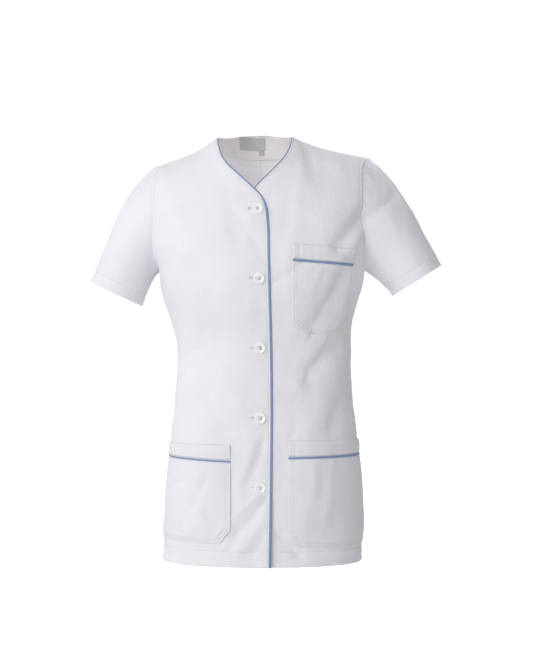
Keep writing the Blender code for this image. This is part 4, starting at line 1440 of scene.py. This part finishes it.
def pocket_lines(pocket, body, inset):
    """Two rows of topstitching around a pocket, as far as its opening and a side seam."""
    lines = []
    for distance in POCKET_STITCHES:
        above = body.low >= distance
        lines.append(crossing(body, np.where(above, inset, 0.0), distance))
        below = np.where(inset >= distance, body.low, 0.0)
        lines.append(crossing(body, below, distance, by_column=True))
        if pocket.free_side:
            lines.append(crossing(body, np.where(above, body.outer, 0.0), distance))
    return [line for line in lines if len(line[0]) >= FEWEST_POINTS]


def band_relief(band):
    """A band's turned edges and grooves, and how it stands off towards its upper edge."""
    depth = -BAND_EDGE_DIP * bump_at(np.minimum(band.inner, band.low), BAND_EDGE_WIDTH)
    depth += wavy(PUCKERS, band.inner) * BAND_PUCKERS
    share = band.low / (band.low + band.high)
    depth += BAND_BULGE * (1 - (1 - share) ** 2) * (1 - bump_at(band.high, BAND_TURN))
    for distance, groove in zip(POCKET_STITCHES, POCKET_GROOVES):
        depth -= groove * bump_at(band.inner - distance, POCKET_GROOVE_WIDTH)
    return raised(band, depth)


class TUNIC_OT_pockets(bpy.types.Operator):
    """Chest pocket and lower pockets with their bands and stitching"""

    bl_idname = "tunic.pockets"
    bl_label = "Pockets"

    def execute(self, context):
        cloth, _, _ = settings()
        lift = POCKET_LIFT + cloth.thickness
        for pocket in POCKETS:
            low, seam, top, _, _ = pocket_outline(pocket)
            front = FRONTS[pocket.side]
            body = pocket_grid(pocket, low, lambda x: seam(x) - POCKET_PIPING, lift, corner=True)
            inset = corner_distance(pocket, body)
            body = pocket_relief(pocket, body, inset)
            cut_piece(pocket.name, body, pocket_lines(pocket, body, inset), pocket.flat, front)

            band = band_relief(pocket_grid(pocket, seam, top, lift + BAND_LIFT))
            edges = ("inner", "outer") if pocket.free_side else ("inner",)
            lines = [line_on(band, edge, distance) for edge in edges for distance in POCKET_STITCHES]
            cut_piece(pocket.band, band, lines, pocket.band_flat, front)
        return {"FINISHED"}


class TUNIC_OT_piping(bpy.types.Operator):
    """Piping along the neckline, the front edge and under the pocket bands"""

    bl_idname = "tunic.piping"
    bl_label = "Piping"

    def execute(self, context):
        _, trim, _ = settings()
        for piping in EDGE_PIPINGS:
            grid = front_grid(piping.side)
            height = grid.points[:, 0, 2]
            keep = (height >= piping.low * MM) & (height <= height[-1] - PIPING_END)
            spots, out = grid.points[keep, 0], grid.out[keep, 0]
            run = unit(np.gradient(spots, axis=0))
            away = unit(np.cross(run, out)) * -piping.side
            flat = ease((NECKLINE_LOW - spots[:, 2:]) / NECKLINE_FADE)
            half = trim.neck_piping_width / 2 * (1 - flat) + trim.piping_width / 2 * flat
            half_thick = piping.thick * MM / 2
            middle = spots + away * (half + PIPING_GAP) - out * (WALL - half_thick - PIPING_INSIDE)
            self.lay(piping.name, middle, out, away, half, half_thick)
        for pocket in POCKETS:
            _, seam, _, _, _ = pocket_outline(pocket)
            strip = pocket_grid(pocket, lambda x: seam(x) - POCKET_PIPING, seam, POCKET_PIPING_LIFT)
            middle_row = strip.points.shape[0] // 2
            line = (strip.points[middle_row] + strip.points[middle_row - 1]) / 2
            out = strip.out[middle_row]
            away = unit(np.cross(unit(np.gradient(line, axis=0)), out))
            self.lay(pocket.piping_node, line, out, away, pocket.piping * MM, POCKET_PIPING_HALF)
        return {"FINISHED"}

    def lay(self, node, line, out, away, half_width, half_height):
        """Lay a strip of piping along a line, in place of its CAD node."""
        strip = swept(f"{node}_roll", line, out, away, half_width, half_height, piping_material())
        attach(strip, "piping", node)


def inside_grid(patch):
    """Grid on the inside of the back between a patch's sides, down to its lower edge."""
    levels = np.linspace(*PATCH_LEVELS)
    neck_right, neck_left = neck_across(UPPER_EDGE), neck_across(LOWER_EDGE)
    points, outs = [], []
    for x in np.linspace(patch.right, patch.left, patch.columns) * MM:
        across = across_at(x, levels, BACK, PATCH_HALVINGS)
        spots = smooth_spot(BACK, across, levels)
        share = np.clip(np.abs(across) / np.where(across < 0, neck_right, neck_left), 0, 1)
        neckline = BACK_NECK_LEVEL + (1 - BACK_NECK_LEVEL) * share**BACK_NECK_SHAPE
        allowed = (levels <= neckline - NECK_MARGIN) & (spots[:, 1] >= RIDGE_MARGIN)
        top = levels[allowed & (spots[:, 2] <= patch.high * MM)][-1]
        rise = patch.rise * max(0.0, patch.turn - x / MM)
        bottom = np.interp((patch.low + rise) * MM, spots[:, 2], levels)
        row_level = np.linspace(bottom, max(top, bottom + LEAST_PATCH), patch.rows)
        row_across = np.interp(row_level, levels, across)
        out = outward(BACK, row_across, row_level)
        points.append(smooth_spot(BACK, row_across, row_level) - out * patch.depth)
        outs.append(-out)
    return measured(np.array(points).swapaxes(0, 1), np.array(outs).swapaxes(0, 1))


class TUNIC_OT_back_neck(bpy.types.Operator):
    """Facing, bare label and size tab inside the back neck"""

    bl_idname = "tunic.back_neck"
    bl_label = "Back neck"

    def execute(self, context):
        _, trim, _ = settings()
        facing_cloth = woven_material("Facing cloth", tuple(trim.facing_colour), glow_through=0.3)
        label_cloth = woven_material(
            "Woven label", tuple(trim.label_colour), gap_shade=0.75, pitch=0.0004, depth=0.0001, slow=0.1
        )
        for patch, material in ((FACING, facing_cloth), (LABEL, label_cloth), (TAB, label_cloth)):
            grid = inside_grid(patch)
            edge = np.minimum(np.minimum(grid.inner, grid.outer), np.minimum(grid.low, grid.high))
            grid = raised(grid, -PATCH_EDGE_DIP * bump_at(edge, PATCH_EDGE_WIDTH))
            piece = cloth_piece(f"{patch.name}_cloth", grid, material, PATCH_THICKNESS)
            edges = ("low", "inner", "outer", "high") if patch is LABEL else ("low",)
            lines = [line_on(grid, edge, PATCH_STITCH) for edge in edges]
            sewn_piece(piece, patch.name, lines, patch.slot, patch.flat, patch.under, patch.area)
        return {"FINISHED"}


def button_place(node):
    """Matrix of a CAD button: the middle of its back, with Z out of its face."""
    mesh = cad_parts[node].data
    co = np.empty(len(mesh.vertices) * 3)
    mesh.vertices.foreach_get("co", co)
    co = co.reshape(-1, 3)
    centre = (co.min(axis=0) + co.max(axis=0)) / 2
    _, _, axes = np.linalg.svd(co - co.mean(axis=0), full_matrices=False)
    normal = Vector(axes[2])
    if normal.y > 0:
        normal = -normal
    turn = normal.to_track_quat("Z", "Y").to_matrix().to_4x4()
    depths = (co - centre) @ np.array(normal)
    back = Vector(centre) + normal * float(depths.min())
    return Matrix.Translation(back) @ turn


def button_mesh(radius):
    """A turned four-hole button with a raised rim and a dished middle."""
    thick, dish = BUTTON_THICK, BUTTON_DISH
    profile = [
        (0, thick - dish), (radius * 0.52, thick - dish), (radius * 0.62, thick - dish * 0.9),
        (radius * 0.7, thick - dish * 0.35), (radius * 0.77, thick - dish * 0.04),
        (radius * 0.85, thick), (radius * 0.93, thick * 0.94), (radius * 0.985, thick * 0.78),
        (radius, thick * 0.58), (radius * 0.985, thick * 0.36), (radius * 0.93, thick * 0.1),
        (radius * 0.86, 0), (0, 0),
    ]
    mesh = bpy.data.meshes.new("button")
    mesh.from_pydata([(x, 0, z) for x, z in profile], [(i, i + 1) for i in range(len(profile) - 1)], [])
    blank = bpy.data.objects.new("button_blank", mesh)
    bpy.context.scene.collection.objects.link(blank)
    turn = blank.modifiers.new("Turn", "SCREW")
    turn.steps = 64
    turn.render_steps = 64
    turn.use_merge_vertices = True
    turn.merge_threshold = 0.00001
    cutters = []
    reach = HOLE_SPACING / math.sqrt(2)
    for k in range(4):
        angle = math.pi / 4 + math.pi * k / 2
        bpy.ops.mesh.primitive_cylinder_add(
            vertices=24, radius=HOLE_RADIUS, depth=4 * thick,
            location=(reach * math.cos(angle), reach * math.sin(angle), 0),
        )
        cutters.append(bpy.context.object)
        cut = blank.modifiers.new(f"Hole {k + 1}", "BOOLEAN")
        cut.operation = "DIFFERENCE"
        cut.solver = "EXACT"
        cut.object = cutters[-1]
    bpy.context.view_layer.update()
    shaped = bpy.data.meshes.new_from_object(blank.evaluated_get(bpy.context.evaluated_depsgraph_get()))
    for thing in cutters + [blank]:
        bpy.data.objects.remove(thing, do_unlink=True)
    shaped.shade_smooth()
    shaped.set_sharp_from_angle(angle=math.radians(38))
    shaped.materials.clear()
    return shaped


def thread_strands():
    """Lines of thread between a button's holes: two bars and a slanting one, in three strands each."""
    half = HOLE_SPACING / 2
    bars = [((-half, half), (half, half)), ((-half, -half), (half, -half)), ((half, half), (-half, -half))]
    strands = []
    for n, (a, b) in enumerate(bars):
        run = np.array(b) - np.array(a)
        side = np.array([-run[1], run[0]]) / np.linalg.norm(run)
        for shift in (-0.32, 0.0, 0.32):
            t = np.linspace(0, 1, 9)
            flat = np.array(a) + t[:, None] * run + side * shift * MM
            lift = THREAD_TOP + (0.25 + 0.18 * n) * MM + 0.35 * MM * np.sin(math.pi * t)
            lift[0] = lift[-1] = THREAD_TOP - 0.9 * MM
            strands.append(np.column_stack([flat, lift]))
    return strands


def thread_tube(strand):
    """Rings of points around a strand of thread."""
    run = unit(np.gradient(strand, axis=0))
    side = unit(np.cross(run, np.array([0, 0, 1.0])))
    up = np.cross(side, run)
    turns = 2 * math.pi * np.arange(THREAD_SIDES) / THREAD_SIDES
    spokes = [side * math.cos(turn) + up * math.sin(turn) for turn in turns]
    return strand[:, None] + np.stack(spokes, axis=1) * THREAD_RADIUS


class TUNIC_OT_buttons(bpy.types.Operator):
    """Five four-hole buttons and the thread that holds them"""

    bl_idname = "tunic.buttons"
    bl_label = "Buttons"

    def execute(self, context):
        _, trim, _ = settings()
        resin = button_material("White button", tuple(trim.button_colour))
        # The button thread is darkened as painted shade of the holes and dish beneath it.
        thread = thread_material("Button thread", tuple(trim.button_thread_and_shade))
        shape = button_mesh(trim.button_radius)
        tubes = [thread_tube(strand) for strand in thread_strands()]
        for n, turn in enumerate(BUTTON_TURNS):
            node = f"button_{n + 1}"
            place = button_place(node) @ Matrix.Rotation(math.radians(turn), 4, "Z")
            button = add_object(f"{node}_turned", shape.copy(), resin)
            button.matrix_world = place
            attach(button, "button", node)
            holder = add_object(f"{node}_thread", tube_mesh(f"{node}_thread", tubes, THREAD_SIDES), thread)
            holder.matrix_world = place
            attach(holder, "cloth")
        return {"FINISHED"}


class TUNIC_OT_buttonholes(bpy.types.Operator):
    """Buttonholes worked in close stitches, lying across the front edge"""

    bl_idname = "tunic.buttonholes"
    bl_label = "Buttonholes"

    def execute(self, context):
        for n in range(len(BUTTON_TURNS)):
            centre = button_place(f"button_{n + 1}").translation
            tubes = [self.rib(ends, out) for ends, out in self.stitches(centre)]
            mesh = tube_mesh(f"buttonhole_{n + 1}", tubes, RIB_SIDES, capped=False)
            attach(add_object(f"buttonhole_{n + 1}", mesh, white_thread()), "cloth")
        return {"FINISHED"}

    def stitches(self, centre):
        """Both ends of each stitch, and the direction out of the cloth there."""
        grid = front_grid(RIGHT)
        row = int(np.argmin(np.abs(grid.points[:, 0, 2] - centre.z)))
        order = np.argsort(grid.points[row, :, 0])
        points, outs = grid.points[row, order], grid.out[row, order]

        def on_cloth(x, z):
            spots = at_places(x, points[:, 0], points)
            spots[:, 2] = z
            return spots, unit(at_places(x, points[:, 0], outs))

        start = centre.x - HOLE_INNER
        x = np.linspace(start, centre.x + HOLE_OUTER, RIB_COUNT)
        for side in (1, -1):
            near, out = on_cloth(x, centre.z + side * SLIT)
            far, _ = on_cloth(x, centre.z + side * (SLIT + RIB))
            for k in range(RIB_COUNT):
                yield np.array([near[k], far[k]]), out[k]
        for z in np.linspace(centre.z - SLIT - RIB, centre.z + SLIT + RIB, BAR_COUNT):
            ends, out = on_cloth(start + np.array(BAR_ENDS), z)
            yield ends, out[0]

    def rib(self, ends, out):
        """Rings of points around one stitch of a buttonhole."""
        side = unit(np.cross(unit(ends[1] - ends[0]), out))
        rings = []
        for part in RIB_SHAPE:
            spot = ends[0] + (ends[1] - ends[0]) * part.at + out * part.lift * MM
            for turn in 2 * math.pi * np.arange(RIB_SIDES) / RIB_SIDES:
                spoke = side * math.cos(turn) + out * math.sin(turn)
                rings.append(spot + spoke * part.size * RIB_RADIUS)
        return np.array(rings).reshape(len(RIB_SHAPE), RIB_SIDES, 3)


# Stage.

def softbox(name, power, size, azimuth, elevation, distance, aim=LIGHT_AIM, tint=(1, 1, 1)):
    """A round soft light that faces its aim; azimuth 0 is in front, 90 at the viewer's right."""
    lamp = bpy.data.lights.new(name, "AREA")
    lamp.energy = power
    lamp.color = tint
    lamp.shape = "DISK"
    lamp.size = size
    light = bpy.data.objects.new(name, lamp)
    turn, rise = math.radians(azimuth), math.radians(elevation)
    way = Vector((math.sin(turn) * math.cos(rise), -math.cos(turn) * math.cos(rise), math.sin(rise)))
    light.location = Vector(aim) + way * distance
    light.rotation_euler = way.to_track_quat("Z", "Y").to_euler()
    light.visible_camera = False
    bpy.context.scene.collection.objects.link(light)


def paper_floor(height, colour):
    """A wide pale floor, below the tunic and apart from it."""
    work = bmesh.new()
    bmesh.ops.create_circle(work, cap_ends=True, segments=96, radius=FLOOR_RADIUS)
    bmesh.ops.translate(work, verts=work.verts[:], vec=(0, 0, height))
    mesh = bpy.data.meshes.new("floor")
    work.to_mesh(mesh)
    work.free()
    add_object("floor", mesh, floor_material("Paper floor", colour))


def studio_world(ambient, ambient_left):
    """Soft light from all sides, more of it from the viewer's left, before a white backdrop."""
    world = bpy.data.worlds.new("Studio")
    world.use_nodes = True
    tree = world.node_tree
    background = tree.nodes["Background"]
    place = tree.nodes.new("ShaderNodeTexCoord")
    parts = tree.nodes.new("ShaderNodeSeparateXYZ")
    tree.links.new(place.outputs["Generated"], parts.inputs[0])
    left = math_node(tree, "MULTIPLY_ADD", parts.outputs["X"], -0.5, 0.5)
    soft = math_node(tree, "MULTIPLY_ADD", left, ambient_left, ambient)
    seen = tree.nodes.new("ShaderNodeLightPath")
    behind = math_node(tree, "MULTIPLY", seen.outputs["Is Camera Ray"], SEEN_SKY)
    tree.links.new(math_node(tree, "MAXIMUM", soft, behind), background.inputs["Strength"])
    background.inputs["Color"].default_value = (1, 1, 1, 1)
    bpy.context.scene.world = world


def front_camera(distance, lens):
    """A camera before the tunic, a little to the viewer's right of its middle."""
    data = bpy.data.cameras.new("camera")
    data.sensor_fit = "HORIZONTAL"
    data.sensor_width = SENSOR_WIDTH
    data.lens = lens
    camera = bpy.data.objects.new("camera", data)
    azimuth = math.radians(CAMERA_AZIMUTH)
    back = Vector((math.sin(azimuth), -math.cos(azimuth), 0))
    camera.location = Vector(CAMERA_TARGET) + back * distance
    camera.rotation_euler = (-back).to_track_quat("-Z", "Y").to_euler()
    bpy.context.scene.collection.objects.link(camera)
    bpy.context.scene.camera = camera


class TUNIC_OT_stage(bpy.types.Operator):
    """Pale floor, soft studio light and the camera"""

    bl_idname = "tunic.stage"
    bl_label = "Stage"

    def execute(self, context):
        _, _, stage = settings()
        paper_floor(stage.floor_height, tuple(stage.floor_colour))
        softbox("lead light", stage.lead_power, size=2.6, azimuth=-30, elevation=20, distance=3.6)
        softbox("top light", stage.top_power, size=1.2, azimuth=8, elevation=62, distance=3.4)
        softbox("rear light", stage.rear_power, size=2.0, azimuth=152, elevation=28, distance=3.6)
        softbox("inner light", stage.inner_power, size=0.12, azimuth=-60, elevation=-68, distance=0.31,
                aim=INSIDE_AIM, tint=INSIDE_TINT)
        studio_world(stage.ambient, stage.ambient_left)
        front_camera(stage.camera_distance, stage.lens)
        context.scene.view_settings.view_transform = "Standard"
        return {"FINISHED"}


class TUNIC_PT_sidebar(bpy.types.Panel):
    """Buttons that make the tunic's pieces, and their settings"""

    bl_idname = "TUNIC_PT_sidebar"
    bl_label = "Tunic"
    bl_space_type = "VIEW_3D"
    bl_region_type = "UI"
    bl_category = "Tunic"

    def draw(self, context):
        layout = self.layout
        for operator in OPERATORS:
            layout.operator(operator.bl_idname)
        for group in settings():
            box = layout.box()
            for name in group.__annotations__:
                box.prop(group, name)


OPERATORS = (
    TUNIC_OT_fronts, TUNIC_OT_backs, TUNIC_OT_sleeves, TUNIC_OT_pockets, TUNIC_OT_piping,
    TUNIC_OT_back_neck, TUNIC_OT_buttons, TUNIC_OT_buttonholes, TUNIC_OT_stage,
)
SETTINGS = (
    ("tunic_cloth", TunicClothSettings),
    ("tunic_trim", TunicTrimSettings),
    ("tunic_stage", TunicStageSettings),
)


def register():
    for name, group in SETTINGS:
        bpy.utils.register_class(group)
        setattr(bpy.types.Scene, name, PointerProperty(type=group))
    for operator in OPERATORS:
        bpy.utils.register_class(operator)
    bpy.utils.register_class(TUNIC_PT_sidebar)


def unregister():
    bpy.utils.unregister_class(TUNIC_PT_sidebar)
    for operator in reversed(OPERATORS):
        bpy.utils.unregister_class(operator)
    for name, group in reversed(SETTINGS):
        delattr(bpy.types.Scene, name)
        bpy.utils.unregister_class(group)


def main():
    register()
    bpy.ops.tunic.fronts()
    bpy.ops.tunic.backs()
    bpy.ops.tunic.sleeves()
    bpy.ops.tunic.pockets()
    bpy.ops.tunic.piping()
    bpy.ops.tunic.back_neck()
    bpy.ops.tunic.buttons()
    bpy.ops.tunic.buttonholes()
    bpy.ops.tunic.stage()


if __name__ == "__main__":
    main()
